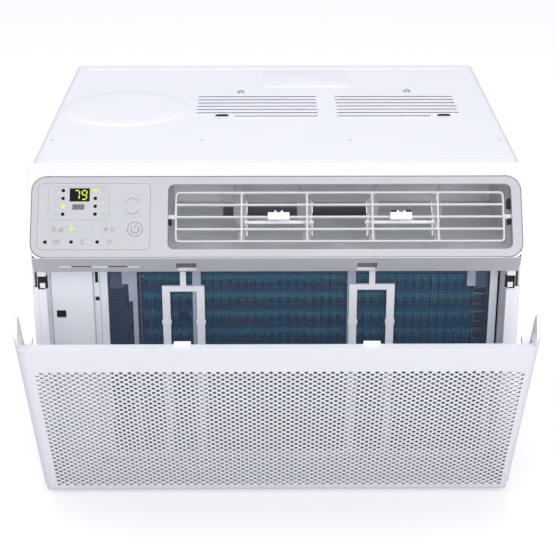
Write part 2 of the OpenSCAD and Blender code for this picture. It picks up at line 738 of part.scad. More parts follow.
module side_cover() color("white") {
    difference() {
        union() {
            block([cover_x0, front_y + 5, 9.5], [cover_x1, front_y + 7, cab_h + head_base - gap]);
            block([cover_x1 - 2, front_y + 5, 9.5], [cover_x1, front_y + 21.5, cab_h + head_base - gap]);
        }
        block([cover_x0 + 3.8, front_y, cab_h - 163.5], [cover_x0 + 13.4, front_y + 9, cab_h - 155.5]);
    }
}

// ---------- air path ----------

duct_x0 = opening_x0 - 5;
duct_x1 = opening_x1 + 3.2;
module duct_profile(t) {
    a = face_top + 6.3 * along - 6.5 * normal;
    b = face_top + (opening_s1 + 3.4) * along - 8.5 * normal;
    polygon([in_world(a) + [0, t], in_world(a + [-5, 3]) + [0, t], [in_world(a)[0] + 14, duct_roof + t],
        [bulk_y - 4 + t, duct_roof + t], [bulk_y - 4 + t, duct_floor - t],
        [in_world(b)[0] + 30, duct_floor - t], in_world(b) - [0, t]]);
}
module air_duct() color("gainsboro") {
    difference() {
        translate([(duct_x0 + duct_x1) / 2, 0, 0]) along_x(duct_x1 - duct_x0) duct_profile(1.6);
        translate([(duct_x0 + duct_x1) / 2, 0, 0]) along_x(duct_x1 - duct_x0 - 3.2) duct_profile(0);
        // way in from the blower housing
        block([fan_x - scroll_r0 - scroll_grow, blower_y0 - 1, duct_floor - 8],
            [fan_x + scroll_r0 * cos(scroll_a0), blower_y0 + blower_len + 1, duct_floor + 8]);
        // stay behind the control face
        on_face() block([-300, -120, -14.3], [300, 40, 60]);
    }
}
scroll_step = 10;
function scroll_at(a, grow) =
    (scroll_r0 + grow + scroll_grow * (scroll_a0 - a) / scroll_turn) * [cos(a), sin(a)];
module scroll_outline(grow, top) {
    pts = [for (a = [scroll_a0:-scroll_step:scroll_a0 - scroll_turn]) scroll_at(a, grow)];
    last = pts[len(pts) - 1];
    translate([fan_x, fan_z]) polygon(concat(pts, [[last[0], top - fan_z], [pts[0][0], top - fan_z]]));
}
module blower_housing() color("gainsboro") {
    y0 = blower_y0 - 2;
    len = blower_len + 4;
    along_y(y0, len) difference() {
        scroll_outline(wall, duct_floor - 2);
        scroll_outline(0, duct_floor + 2);
        // the throat is open between its two walls
        translate([fan_x - scroll_r0 - scroll_grow, fan_z + scroll_r0 * sin(scroll_a0)])
            square([scroll_r0 + scroll_grow + scroll_r0 * cos(scroll_a0), cab_h]);
    }
}
module fan_orifice() color("gainsboro") {
    difference() {
        block([evap_x0 - 4, orifice_y, 18], [evap_x1 + 4, orifice_y + 2, duct_floor - 4]);
        translate([fan_x, 0, fan_z]) rod_y(orifice_y - 5, 12, blower_r - 16);
    }
    translate([fan_x, 0, fan_z]) difference() {
        rod_y(orifice_y, 5, blower_r - 14);
        rod_y(orifice_y - 5, 20, blower_r - 16);
    }
}
module bulkhead() color("silver") {
    difference() {
        block([-in_x + 2, bulk_y, 2], [in_x - 2, bulk_y + sheet, cab_h - 3]);
        translate([fan_x, 0, fan_z]) rod_y(bulk_y - 3, 8, shaft_r + 4);
        // way through for the two refrigerant pipes
        block([suction_x - 12, bulk_y - 3, 206], [comp_x + 20, bulk_y + 4, 246]);
        // corners follow the cabinet's round edges
        for (side = [-1, 1])
            translate([side * in_x, bulk_y, cab_h - 3]) rotate([0, 45, 0]) cube(16, center = true);
    }
}

// ---------- evaporator ----------

module evaporator_fins() color("steelblue")
    fin_stack(evap_x0, evap_x1, evap_y0, evap_z0, evap_depth, evap_h, evap_cols, evap_z);
module evaporator_tubes() color("peru")
    serpentine(evap_x0 - 4, evap_x1 + 4, evap_cols, evap_z, evap_pitch);
module end_plates(x0, x1, y0, z0, depth, high, cols, rows) {
    for (x = [x0 - 0.5 - plate_t, x1 + 0.5])
        translate([x, 0, 0]) rotate([90, 0, 90]) linear_extrude(plate_t)
            coil_plate(y0, z0, depth, high, cols, rows);
}
module evaporator_end_plates() color("silver")
    end_plates(evap_x0, evap_x1, evap_y0, evap_z0 - 1, evap_depth, evap_h + 2, evap_cols, evap_z);
module coil_sensor() color("black") {
    x = evap_x0 + 2 + 2.5 * fin_pitch;
    block([x - 5, evap_y0 - 3.4, evap_z[7] - 4], [x + 5, evap_y0 - 0.6, evap_z[7] + 4]);
}
module drip_tray() color("white") {
    x = in_x - 4;
    difference() {
        block([-x + 60, evap_y0 - 4, sheet + 0.2], [x, blower_y0 + blower_len, 14]);
        block([-x + 66, evap_y0, 5], [x - 6, blower_y0 + blower_len - 6, 30]);
    }
    for (px = [evap_x0 - 1.4, evap_x1 + 1.2], py = evap_cols)
        translate([px, py, 4.5]) cylinder(evap_z0 - 5.6, r = 2.4);
}

// ---------- fans ----------

module blade_ring(n, r0, r1, y0, len, t, skew) {
    for (i = [0:n - 1]) rotate([0, i * 360 / n, 0])
        translate([(r0 + r1) / 2, y0, 0]) rotate([0, skew, 0])
            translate([-(r1 - r0) / 2, 0, -t / 2]) cube([r1 - r0, len, t]);
}
module blower_wheel() color("dimgray") {
    translate([fan_x, 0, fan_z]) difference() {
        union() {
            blade_ring(36, blower_r - 17, blower_r - 3, blower_y0 + 1, blower_len - 2, 1.2, 28);
            rod_y(blower_y0 + blower_len - 5, 3, blower_r);
            rod_y(blower_y0 + blower_len - 26, 24, hub_r);
            difference() {
                rod_y(blower_y0, 3, blower_r);
                rod_y(blower_y0 - 1, 6, blower_r - 10);
            }
        }
        rod_y(blower_y0 - 5, blower_len + 10, shaft_r + run_fit / 4);
    }
}
module fan_shaft() color("silver")
    translate([fan_x, 0, fan_z]) rod_y(blower_y0 + 16, axial_y0 + axial_len - 4 - blower_y0 - 16, shaft_r);
module fan_motor() color("gray") {
    translate([fan_x, 0, fan_z]) difference() {
        union() {
            rod_y(motor_y0, motor_len, motor_r);
            rod_y(motor_y0 - 7, motor_len + 14, 13);
            for (a = [45:90:315]) rotate([0, a, 0])
                translate([motor_r - 3, motor_y0 + 30, -5]) cube([11, 3, 10]);
        }
        rod_y(motor_y0 - 20, motor_len + 40, shaft_r + run_fit);
    }
}
module motor_bracket() color("darkgray") {
    y = motor_y0 + 22;
    difference() {
        union() {
            along_y(y, 3) polygon([[fan_x - 60, sheet], [fan_x + 60, sheet],
                [fan_x + 60, fan_z - 20], [fan_x + 48, fan_z + 30], [fan_x - 48, fan_z + 30],
                [fan_x - 60, fan_z - 20]]);
            block([fan_x - 60, y, sheet + e], [fan_x + 60, y + 34, sheet + 3]);
        }
        translate([fan_x, 0, fan_z]) rod_y(y - 2, 8, motor_r + run_fit);
        block([fan_x - 40, y - 2, 20], [fan_x + 40, y + 5, fan_z - motor_r - 18]);
    }
}
module axial_fan() color("dimgray") {
    translate([fan_x, 0, fan_z]) difference() {
        union() {
            difference() {
                rod_y(axial_y0 + 18, 8, axial_r);
                rod_y(axial_y0 + 10, 24, axial_r - 2.5);
            }
            intersection() {
                for (i = [0:4]) rotate([0, 72 * i, 0]) translate([0, axial_y0 + 14, 0])
                    rotate([28, 0, 0]) translate([hub_r, -1, -30]) cube([axial_r - hub_r - 1, 2, 60]);
                rod_y(axial_y0, axial_len - 1, axial_r - 1.2);
            }
            rod_y(axial_y0 + 1, axial_len - 3, hub_r + 10);
        }
        rod_y(axial_y0 - 5, axial_len + 10, shaft_r + run_fit / 4);
    }
}
module fan_shroud() color("gainsboro") {
    difference() {
        union() {
            block([cond_x0 - 8, shroud_y, 3], [cond_x1 + 8, shroud_y + 2, cab_h - 12]);
            translate([fan_x, 0, fan_z]) rod_y(axial_y0 + 8, shroud_y - axial_y0 - 7, axial_r + 6);
        }
        translate([fan_x, 0, fan_z]) rod_y(axial_y0, 60, axial_r + 4);
    }
}

// ---------- condenser ----------

module condenser_fins() color("lightsteelblue")
    fin_stack(cond_x0, cond_x1, cond_y0, cond_z0, cond_depth, cond_h, cond_cols, cond_z);
module condenser_tubes() color("peru")
    serpentine(cond_x0 - 4, cond_x1 + 4, cond_cols, cond_z, cond_pitch);
module condenser_end_plates() color("silver") {
    end_plates(cond_x0, cond_x1, cond_y0, sheet, cond_depth, cond_z0 + cond_h + 2, cond_cols, cond_z);
}

// ---------- compressor ----------

mount_ring = 66;
module compressor() color("black") {
    translate([comp_x, comp_y, comp_z0]) difference() {
        union() {
            translate([0, 0, 10]) cylinder(comp_h - 30, r = comp_r);
            translate([0, 0, 10]) cylinder(10, r1 = comp_r - 8, r2 = comp_r);
            translate([0, 0, comp_h - 20]) cylinder(12, r1 = comp_r, r2 = comp_r - 14);
            translate([0, 0, comp_h - 9]) cylinder(4, r = comp_r - 16);
            cylinder(11, r = comp_r - 9);
            linear_extrude(4) for (a = [90, 210, 330]) rotate(a)
                polygon([[0, -22], [mount_ring, -10], [mount_ring + 6, 0], [mount_ring, 10], [0, 22]]);
        }
        for (a = [90, 210, 330]) rotate(a) translate([mount_ring - 6, 0, -1]) cylinder(8, r = 5.2);
    }
}
module compressor_mounts() color("dimgray") {
    for (a = [90, 210, 330])
        translate([comp_x, comp_y, 0]) rotate(a) translate([mount_ring - 6, 0, sheet]) {
            cylinder(comp_z0 - sheet - 0.2, r = 9);
            cylinder(comp_z0 - sheet + 9, r = 4.8);
        }
}
module terminal_cover() color("dimgray")
    translate([comp_x + 10, comp_y, comp_z0 + comp_h - 4.8]) cylinder(16, r = 15);
acc_x = comp_x - 8;
acc_gap = 32;
acc_y = comp_y + comp_r + acc_gap;
module accumulator() color("black") {
    translate([acc_x, acc_y, 0]) {
        translate([0, 0, 52]) cylinder(130, r = 23);
        translate([0, 0, 44]) cylinder(8.1, r1 = 12, r2 = 23);
        translate([0, 0, 181.9]) cylinder(8, r1 = 23, r2 = 12);
        // strap to the compressor
        block([-4, 0.3 - acc_gap, 112], [4, -22, 124]);
    }
}
pipe_r = 4;
suction_x = comp_x - 4;
cap_x = cond_x0 - 26;
cap_y = comp_y + 62;
// Loops of the capillary tube, one above the other
cap_r = 1.5;
cap_loops = 4;
cap_step = 3.6;
cap_z = 214;
module refrigerant_pipes() color("peru") {
    // discharge, compressor top to the condenser's upper tube
    high = comp_z0 + comp_h + 40;
    tube([[comp_x - 20, comp_y, comp_z0 + comp_h - 6], [comp_x - 20, comp_y, high],
        [comp_x + 34, cond_cols[0], high], [comp_x + 34, cond_cols[0], cond_z[11]],
        [cond_x0 - 2.6, cond_cols[0], cond_z[11]]], pipe_r - 0.5);
    // suction, evaporator to the accumulator
    tube([[evap_x0 - 2.6, evap_cols[1], evap_z[9]], [suction_x, evap_cols[1], evap_z[9]],
        [suction_x, comp_y - 50, 240], [12 - in_x, comp_y, 250], [acc_x, acc_y, 240],
        [acc_x, acc_y, 189.4]], pipe_r);
}
module capillary_tube() color("peru") {
    tube([[cond_x0 - 2.6, cond_cols[1], cond_z[0]], [cap_x - 18, cond_cols[1], cond_z[0]],
        [cap_x - 18, cap_y, cond_z[0]], [cap_x - 18, cap_y, cap_z - 0.9]], cap_r);
    for (i = [0:cap_loops - 1])
        translate([cap_x, cap_y, cap_z + cap_step * i])
            rotate_extrude() translate([18, 0]) circle(cap_r + 0.2);
    tube([[cap_x - 18, cap_y, cap_z + cap_step * (cap_loops - 1) + 0.9], [cap_x - 18, cap_y, 238],
        [comp_x + 12, bulk_y - 8, 238], [comp_x + 2, evap_cols[0], evap_z[9]],
        [evap_x0 - 2.6, evap_cols[0], evap_z[9]]], cap_r);
}

// ---------- electrics ----------

box_x0 = -in_x + 4;
box_x1 = box_x0 + 48.2;
box_y0 = front_y + 24;
module control_box() color("silver") {
    difference() {
        block([box_x0, box_y0, 40], [box_x1, bulk_y - 4, 236]);
        block([box_x0 + sheet, box_y0 + sheet, 40 + sheet], [box_x1 - sheet, bulk_y - 4 - sheet, 240]);
    }
}
module run_capacitor() color("gray") {
    translate([(box_x0 + box_x1) / 2, bulk_y - 40, 40 + sheet + 0.2]) {
        cylinder(80, r = 19);
        for (x = [-6, 6]) translate([x, 0, 80 - e]) cylinder(7, r = 2);
    }
}
inlet_r = 6;
inlet_bore = 4.2;
inlet_notch = inlet_r + 2 + gap;
inlet_y = evap_y0 - inlet_r - 5;
inlet_z = rim_h + inlet_r + 6;
module cord_inlet() color("dimgray") {
    translate([0, inlet_y, inlet_z]) difference() {
        union() {
            rod_x(in_x - 4, 4, inlet_r + 4);
            rod_x(in_x - 3.9, 7, inlet_r + 2);
            rod_x(cab_w / 2, 3.5, inlet_r + 4);
        }
        rod_x(in_x - 20, 60, inlet_bore);
    }
}

base_pan();
cabinet_shell();
cabinet_screws();
front_frame();
bezel();
control_overlay();
display_windows();
indicator_lights();
control_board();
key_cap(keys[0]);  // key_power
key_cap(keys[1]);  // key_up
key_cap(keys[2]);  // key_down
key_cap(keys[3]);  // key_mode
key_cap(keys[4]);  // key_fan_speed
key_cap(keys[5]);  // key_eco
key_cap(keys[6]);  // key_filter
key_cap(keys[7]);  // key_sleep
key_cap(keys[8]);  // key_timer
louver_frame();
vane(0);  // vane_1
vane(1);  // vane_2
vane(2);  // vane_3
vane(3);  // vane_4
vane_link(0);  // vane_link_left
vane_link(2);  // vane_link_right
vane_slider(0);  // vane_slider_left
vane_slider(2);  // vane_slider_right
intake_panel();
panel_hinge_pins();
filter_frame();
filter_mesh();
filter_guides();
side_cover();
air_duct();
blower_housing();
fan_orifice();
bulkhead();
evaporator_fins();
evaporator_tubes();
evaporator_end_plates();
coil_sensor();
drip_tray();
blower_wheel();
fan_shaft();
fan_motor();
motor_bracket();
axial_fan();
fan_shroud();
condenser_fins();
condenser_tubes();
condenser_end_plates();
compressor();
compressor_mounts();
terminal_cover();
accumulator();
refrigerant_pipes();
capillary_tube();
control_box();
run_capacitor();
cord_inlet();
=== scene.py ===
import json
import math

import bmesh
import bpy
from bpy.props import FloatProperty, FloatVectorProperty, IntProperty, PointerProperty
from mathutils import Matrix, Vector


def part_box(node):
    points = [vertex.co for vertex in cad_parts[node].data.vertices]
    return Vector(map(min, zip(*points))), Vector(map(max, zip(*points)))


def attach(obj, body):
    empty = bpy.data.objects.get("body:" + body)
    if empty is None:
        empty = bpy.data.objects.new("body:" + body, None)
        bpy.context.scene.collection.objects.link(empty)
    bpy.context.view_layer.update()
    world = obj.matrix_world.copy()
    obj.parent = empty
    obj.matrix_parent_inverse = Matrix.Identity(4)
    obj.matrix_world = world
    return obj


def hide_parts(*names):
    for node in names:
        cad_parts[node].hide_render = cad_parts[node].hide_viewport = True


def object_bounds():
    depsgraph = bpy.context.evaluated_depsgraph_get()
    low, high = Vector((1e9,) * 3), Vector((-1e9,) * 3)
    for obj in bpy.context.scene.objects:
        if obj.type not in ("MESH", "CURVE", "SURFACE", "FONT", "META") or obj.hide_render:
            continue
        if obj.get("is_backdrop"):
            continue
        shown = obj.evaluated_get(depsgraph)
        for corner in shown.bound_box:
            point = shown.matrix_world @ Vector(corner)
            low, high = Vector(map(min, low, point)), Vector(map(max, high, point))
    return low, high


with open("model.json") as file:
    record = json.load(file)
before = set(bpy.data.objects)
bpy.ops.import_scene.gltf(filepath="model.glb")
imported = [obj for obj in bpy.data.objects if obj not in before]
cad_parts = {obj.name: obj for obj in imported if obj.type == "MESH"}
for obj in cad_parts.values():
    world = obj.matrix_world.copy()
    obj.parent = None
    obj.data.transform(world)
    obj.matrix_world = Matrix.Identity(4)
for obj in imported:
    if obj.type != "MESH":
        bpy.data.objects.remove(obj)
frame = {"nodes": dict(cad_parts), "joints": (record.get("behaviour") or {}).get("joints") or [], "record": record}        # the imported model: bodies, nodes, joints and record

bl_info = {
    "name": "Window air conditioner",
    "version": (1, 0, 0),
    "blender": (4, 5, 0),
    "location": "3D View > Sidebar > Window unit",
    "description": "Finished looks of a window air conditioner, built around its packed frame",
    "category": "Object",
}

MM = 0.001
CABINET_TOP = 342 * MM      # the flat top sheet, without the raised forms
COLUMN_REACH = 22 * MM      # how far the front's side columns stand out of the cabinet
LIP_DOWN = 80.8 * MM        # down the control face to the lip's edge
TUBE_ROWS = 10
TUBE_RADIUS = 3.5 * MM
UNDERSIDE_LEAN = math.radians(35)       # the lip's underside, from the vertical
JOINTS = {joint["name"]: joint for joint in frame["joints"]}
SLOT_OF = {part["node"]: part["material_slot"] for part in frame["record"]["subparts"]}
BODY_OF = {
    node: body
    for body, members in frame["record"]["behaviour"]["bodies"].items()
    for node in members
}


def linear(code):
    """An sRGB hex colour as linear red, green, blue and alpha."""
    channels = [int(code[i : i + 2], 16) / 255 for i in (1, 3, 5)]
    steps = [c / 12.92 if c <= 0.04045 else ((c + 0.055) / 1.055) ** 2.4 for c in channels]
    return (*steps, 1.0)


# ---------- the control face's own frame ----------

FACE_UP = Vector(JOINTS["vane_1_swivel"]["axis"])
FACE_OUT = -Vector(JOINTS["key_power_press"]["axis"])
LOUVRE_PIVOT = Vector(JOINTS["louver_tilt"]["pos_m"])
PIVOT_DOWN = 39.4 * MM
PIVOT_DEPTH = 6 * MM


def on_face(x, down, out=0.0):
    """A point of the control face: across, down its slope from the top, and out of it, in metres."""
    point = LOUVRE_PIVOT + FACE_UP * (PIVOT_DOWN - down) + FACE_OUT * (PIVOT_DEPTH + out)
    return Vector((x, point.y, point.z))


# ---------- settings ----------


class CabinetSettings(bpy.types.PropertyGroup):
    """Sizes of the steel cabinet's pressed details."""

    hood_rise: FloatProperty(
        name="Louvre rise", description="Height of a pressed louvre over the sheet",
        default=1.6 * MM, unit="LENGTH",
    )
    round_rise: FloatProperty(
        name="Round rise", description="Height of the raised round over the compressor",
        default=1.3 * MM, unit="LENGTH",
    )
    enamel: FloatVectorProperty(
        name="Enamel", description="Colour of the cabinet's enamel", subtype="COLOR",
        default=linear("#eff0f6")[:3],
    )


class FrontSettings(bpy.types.PropertyGroup):
    """Finish of the plastic front and of its controls."""

    edge: FloatProperty(
        name="Edge radius", description="Radius of the moulded edges",
        default=0.7 * MM, unit="LENGTH",
    )
    white: FloatVectorProperty(
        name="White plastic", description="Colour of the white mouldings", subtype="COLOR",
        default=linear("#eeeff4")[:3],
    )
    grey: FloatVectorProperty(
        name="Grey plastic", description="Colour of the bezel", subtype="COLOR",
        default=linear("#c0c1c5")[:3],
    )
    reading: IntProperty(
        name="Reading", description="Number that the display shows", default=79, min=0, max=99,
    )
    glow: FloatVectorProperty(
        name="Glow", description="Colour of the lit segments and lamps", subtype="COLOR",
        default=linear("#b4d230")[:3],
    )


class PanelSettings(bpy.types.PropertyGroup):
    """Sizes of the intake panel's perforations."""

    hole: FloatProperty(
        name="Hole width", description="Width of a perforation", default=3.9 * MM, unit="LENGTH",
    )
    column_step: FloatProperty(
        name="Column step", description="Distance from one column of holes to the next",
        default=4.05 * MM, unit="LENGTH",
    )
    row_step: FloatProperty(
        name="Row step", description="Distance between holes in one column",
        default=6.9 * MM, unit="LENGTH",
    )
    columns: IntProperty(name="Columns", description="Number of hole columns", default=111, min=3)
    rows: IntProperty(name="Rows", description="Holes in one column", default=28, min=2)


class CoilSettings(bpy.types.PropertyGroup):
    """Sizes of the coils' fins and of the filter's net."""

    fin_step: FloatProperty(
        name="Fin step", description="Distance between two fin plates",
        default=2.0 * MM, unit="LENGTH",
    )
    fin_thickness: FloatProperty(
        name="Fin thickness", description="Thickness of a fin plate", default=0.45 * MM, unit="LENGTH",
    )
    net_step: FloatProperty(
        name="Net step", description="Distance between two threads of the filter net",
        default=1.6 * MM, unit="LENGTH",
    )
    thread: FloatProperty(
        name="Thread", description="Thickness of a thread of the filter net",
        default=0.42 * MM, unit="LENGTH",
    )


class WindowUnitSettings(bpy.types.PropertyGroup):
    """All the settings of the window unit."""

    cabinet: PointerProperty(name="Cabinet", description="Cabinet details", type=CabinetSettings)
    front: PointerProperty(name="Front", description="Front and controls", type=FrontSettings)
    panel: PointerProperty(name="Panel", description="Intake panel", type=PanelSettings)
    coil: PointerProperty(name="Coils", description="Coils and filter", type=CoilSettings)


# ---------- materials ----------


def add(tree, kind, inputs=None, **settings):
    """Adds one node, with its settings, and its inputs as values or as links from sockets."""
    node = tree.nodes.new(kind)
    for key, value in settings.items():
        setattr(node, key, value)
    for key, value in (inputs or {}).items():
        if isinstance(value, bpy.types.NodeSocket):
            tree.links.new(value, node.inputs[key])
        else:
            node.inputs[key].default_value = value
    return node


def scaled(colour, factor):
    """A linear colour made darker or lighter."""
    return (*(min(1.0, c * factor) for c in colour[:3]), 1.0)


def surface(name, colour, rough, metal=0.0, mottle_mm=45.0, mottle=0.04, grain_mm=1.2, relief_mm=0.01,
            rough_range=0.06, stretch=(1.0, 1.0, 1.0), shade=None, **constants):
    """A shader with a colour mottle, a roughness grain and a fine relief, all in real millimetres.

    shade is a function of the tree and the object coordinates that gives a factor socket, from 0 for the
    darker to 1 for the lighter colour."""
    material = bpy.data.materials.get(name)
    if material:
        return material
    material = bpy.data.materials.new(name)
    material.use_nodes = True
    tree = material.node_tree
    tree.nodes.clear()
    coords = add(tree, "ShaderNodeTexCoord").outputs["Object"]
    placed = add(tree, "ShaderNodeMapping", {"Vector": coords, "Scale": stretch}).outputs["Vector"]
    cloud = add(tree, "ShaderNodeTexNoise", {"Vector": placed, "Scale": 1 / (mottle_mm * MM), "Detail": 3.0})
    grain = add(tree, "ShaderNodeTexNoise", {"Vector": placed, "Scale": 1 / (grain_mm * MM), "Detail": 2.0})
    factor = shade(tree, coords) if shade else cloud.outputs["Fac"]
    tint = add(tree, "ShaderNodeMix", {
        "Factor": factor, 6: scaled(colour, 1 - mottle), 7: scaled(colour, 1 + mottle),
    }, data_type="RGBA")
    rough_map = add(tree, "ShaderNodeMapRange", {
        "Value": grain.outputs["Fac"], "To Min": rough - rough_range, "To Max": rough + rough_range,
    })
    bump = add(tree, "ShaderNodeBump", {
        "Height": grain.outputs["Fac"], "Strength": 0.6, "Distance": relief_mm * MM,
    })
    shader = add(tree, "ShaderNodeBsdfPrincipled", {
        "Base Color": tint.outputs[2], "Roughness": rough_map.outputs["Result"],
        "Normal": bump.outputs["Normal"], "Metallic": metal, **constants,
    })
    add(tree, "ShaderNodeOutputMaterial", {"Surface": shader.outputs["BSDF"]})
    return material


def settings():
    """The window unit's settings in this scene."""
    return bpy.context.scene.window_unit


def white_enamel():
    # Steel sheet with baked polyester powder enamel: even, with a faint orange peel about 2.5 mm across.
    return surface("enamelled_steel", settings().cabinet.enamel, 0.36, mottle=0.015, grain_mm=2.5,
                   relief_mm=0.012, **{"Coat Weight": 0.15, "Coat Roughness": 0.2})


def white_plastic():
    # Injection-moulded ABS with a fine spark texture: a soft, even sheen. Its grain is drawn at 0.9 mm.
    return surface("white_abs", settings().front.white, 0.42, mottle=0.015, grain_mm=0.9,
                   relief_mm=0.008)


def panel_plastic():
    # The intake panel's ABS is smoother than the frame's, so that dust wipes off it.
    return surface("white_panel_abs", settings().front.white, 0.34, mottle=0.012, grain_mm=1.4,
                   relief_mm=0.005)


def hole_wall_shade():
    # The walls of the perforations are rougher than the face, and their darker grey is painted shade in the
    # holes.
    return surface("perforation_walls_painted_shade", linear("#828388"), 0.75, mottle=0.1, mottle_mm=30)


def grey_plastic():
    # Bezel: ABS in light grey with a satin metallic flake, which gives it a slow change of tone.
    return surface("grey_abs", settings().front.grey, 0.38, metal=0.1, mottle=0.03, mottle_mm=60,
                   grain_mm=0.8, relief_mm=0.006)


def overlay_film():
    # Polyester film printed on its back, with a fine matt face.
    return surface("printed_film", scaled(settings().front.grey, 1.02), 0.3, metal=0.05, mottle=0.012,
                   grain_mm=0.6, relief_mm=0.002)


def print_ink():
    # Screen-printed grey ink under the film.
    return surface("grey_ink", linear("#8b8d92"), 0.4, mottle=0.05, mottle_mm=6)


def pale_ink():
    # Lighter ink of the outlines, printed thin so that the film shows through.
    return surface("pale_grey_ink", linear("#abadb1"), 0.4, mottle=0.05, mottle_mm=6)


def joint_shadow():
    # A grey strip along the narrow joint round the bezel: painted shadow in the joint.
    return surface("painted_joint_shadow", linear("#77797e"), 0.7, mottle=0.1, mottle_mm=10)


def teal_ink():
    # Pale teal ink of the energy saver mark.
    return surface("pale_teal_ink", linear("#a9c9c8"), 0.4, mottle=0.05, mottle_mm=6)


def black_window():
    # Smoked polycarbonate over the display: black and smooth.
    return surface("smoked_polycarbonate", linear("#0c0d0e"), 0.3, mottle=0.2, mottle_mm=8, rough_range=0.02,
                   relief_mm=0.001, **{"Specular IOR Level": 0.2})


def grey_window():
    # The receiver's window: smoky grey polycarbonate, cloudier than the display's.
    return surface("smoky_grey_polycarbonate", linear("#6d6e71"), 0.35, mottle=0.25, mottle_mm=4,
                   rough_range=0.03, relief_mm=0.001)


def black_plastic():
    # Black ABS. Black pads of it also fill sockets, slots, notches and catch mouths as painted shade.
    return surface("black_abs_and_painted_shade", linear("#0a0a0b"), 0.7, mottle=0.15, grain_mm=1.0)


def glowing():
    # Lit segments and lamps behind their film, a little uneven as the diffuser is.
    glow = settings().front.glow
    return surface("lit_diffuser", scaled(glow, 0.8), 0.4, mottle=0.1, mottle_mm=4,
                   **{"Emission Color": (*glow, 1.0), "Emission Strength": 0.75})


def circuit_board():
    # Glass epoxy board under green solder resist.
    return surface("epoxy_board", linear("#1d5a36"), 0.35, mottle=0.15, mottle_mm=9)


def louver_plastic():
    # Louvre: ABS in off-white, moulded smooth.
    return surface("louvre_abs", linear("#cfd0d3"), 0.4, mottle=0.015, grain_mm=0.8, relief_mm=0.004)


def vane_plastic():
    # Vanes: the louvre's plastic, made lighter than the frame as painted light in the shaded recess, with
    # faint flow lines along the vane.
    return surface("vane_abs", linear("#f0f1f3"), 0.4, mottle=0.06, mottle_mm=14,
                   stretch=(1.0, 0.3, 0.3))


def duct_plastic():
    # Expanded and vacuum-formed polystyrene of the air path: dull, with a bead pattern of 3 mm.
    return surface("formed_polystyrene", linear("#eceef0"), 0.5, mottle=0.08, mottle_mm=30, grain_mm=3,
                   relief_mm=0.05)


def zinc_steel():
    # Hot-dip galvanised sheet: spangles about 9 mm across change its gloss.
    return surface("galvanised_sheet", linear("#b9bcc0"), 0.42, metal=0.9, mottle=0.14, mottle_mm=9,
                   grain_mm=4, rough_range=0.12)


def row_light_and_shade(centre, step):
    """A factor for painted highlight along the rows of tubes and painted shade between them."""

    def shade(tree, coords):
        height = add(tree, "ShaderNodeSeparateXYZ", {"Vector": coords}).outputs["Z"]
        turns = add(tree, "ShaderNodeMath", {0: height, 1: centre}, operation="SUBTRACT").outputs[0]
        distance = add(tree, "ShaderNodeMath", {0: turns, 1: step / 2}, operation="PINGPONG").outputs[0]
        return add(tree, "ShaderNodeMapRange", {
            "Value": distance, "From Min": 0.1 * step, "From Max": 0.24 * step, "To Min": 1.0, "To Max": 0.0,
        }, interpolation_type="SMOOTHSTEP").outputs["Result"]

    return shade


def blue_fins():
    # Aluminium fin stock with a blue hydrophilic coat. Its colour is lighter along the rows of tubes, where
    # the flat collars catch light, and darker between them, where the lanced strips scatter it: painted
    # highlight and painted shade.
    low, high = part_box("evaporator_tubes")
    step = (high.z - low.z - 2 * TUBE_RADIUS) / (TUBE_ROWS - 1)
    return surface("coated_fin_stock", linear("#86d2fa"), 0.42, metal=0.05, mottle=0.4, rough_range=0.1,
                   grain_mm=2, shade=row_light_and_shade(low.z + TUBE_RADIUS, step))


def collar_aluminium():
    # The fins' collars, drawn from the same coated stock, lie close together; their lighter, clearer blue is
    # painted highlight.
    return surface("coated_collars_painted_highlight", linear("#7fd8ff"), 0.4, metal=0.05, mottle=0.2, mottle_mm=2.0,
                   stretch=(1.0, 0.2, 0.2))


def bare_fins():
    # Uncoated aluminium fin stock, slightly dull from rolling oil.
    return surface("bare_fin_stock", linear("#cdd2d8"), 0.4, metal=0.4, mottle=0.1, mottle_mm=20)


def copper_tube():
    # Drawn copper with brown flame marks near its brazed joints.
    return surface("drawn_copper", linear("#b0714c"), 0.36, metal=0.95, mottle=0.25, mottle_mm=12,
                   rough_range=0.12)


def filter_net():
    # Woven polypropylene monofilament, dark grey-blue.
    return surface("woven_monofilament", linear("#3c5673"), 0.6, mottle=0.25, mottle_mm=3)


def clear_plastic():
    # Milky clear polypropylene clips.
    return surface("milky_polypropylene", linear("#b9c0d2"), 0.35, mottle=0.05, mottle_mm=12,
                   **{"Alpha": 0.72, "IOR": 1.49})


def black_enamel():
    # Dipped black enamel on pressed steel.
    return surface("dipped_enamel", linear("#17181a"), 0.35, mottle=0.2, mottle_mm=25, relief_mm=0.03,
                   grain_mm=3)


def rubber():
    # Moulded black rubber with a dull bloom.
    return surface("moulded_rubber", linear("#1e1e1f"), 0.75, mottle=0.2, mottle_mm=8)


def fan_plastic():
    # Glass-filled polypropylene: dark grey with fibre flow marks.
    return surface("glass_filled_polypropylene", linear("#3c3e41"), 0.55, mottle=0.12, mottle_mm=10,
                   relief_mm=0.02)


def foam():
    # Moulded expanded polystyrene: white beads of 3 mm.
    return surface("bead_polystyrene", linear("#e8e9ea"), 0.85, mottle=0.05, grain_mm=3, relief_mm=0.1)


def steel_shaft():
    # Ground steel shaft with fine rings from turning, drawn at 0.8 mm.
    return surface("ground_steel", linear("#9ea1a6"), 0.28, metal=1.0, mottle=0.06, grain_mm=0.8,
                   stretch=(0.2, 1.0, 0.2))


def aluminium_can():
    # Drawn aluminium can with vertical draw lines.
    return surface("drawn_aluminium", linear("#b4b7bb"), 0.33, metal=0.95, mottle=0.08, mottle_mm=6,
                   stretch=(1.0, 1.0, 0.1))


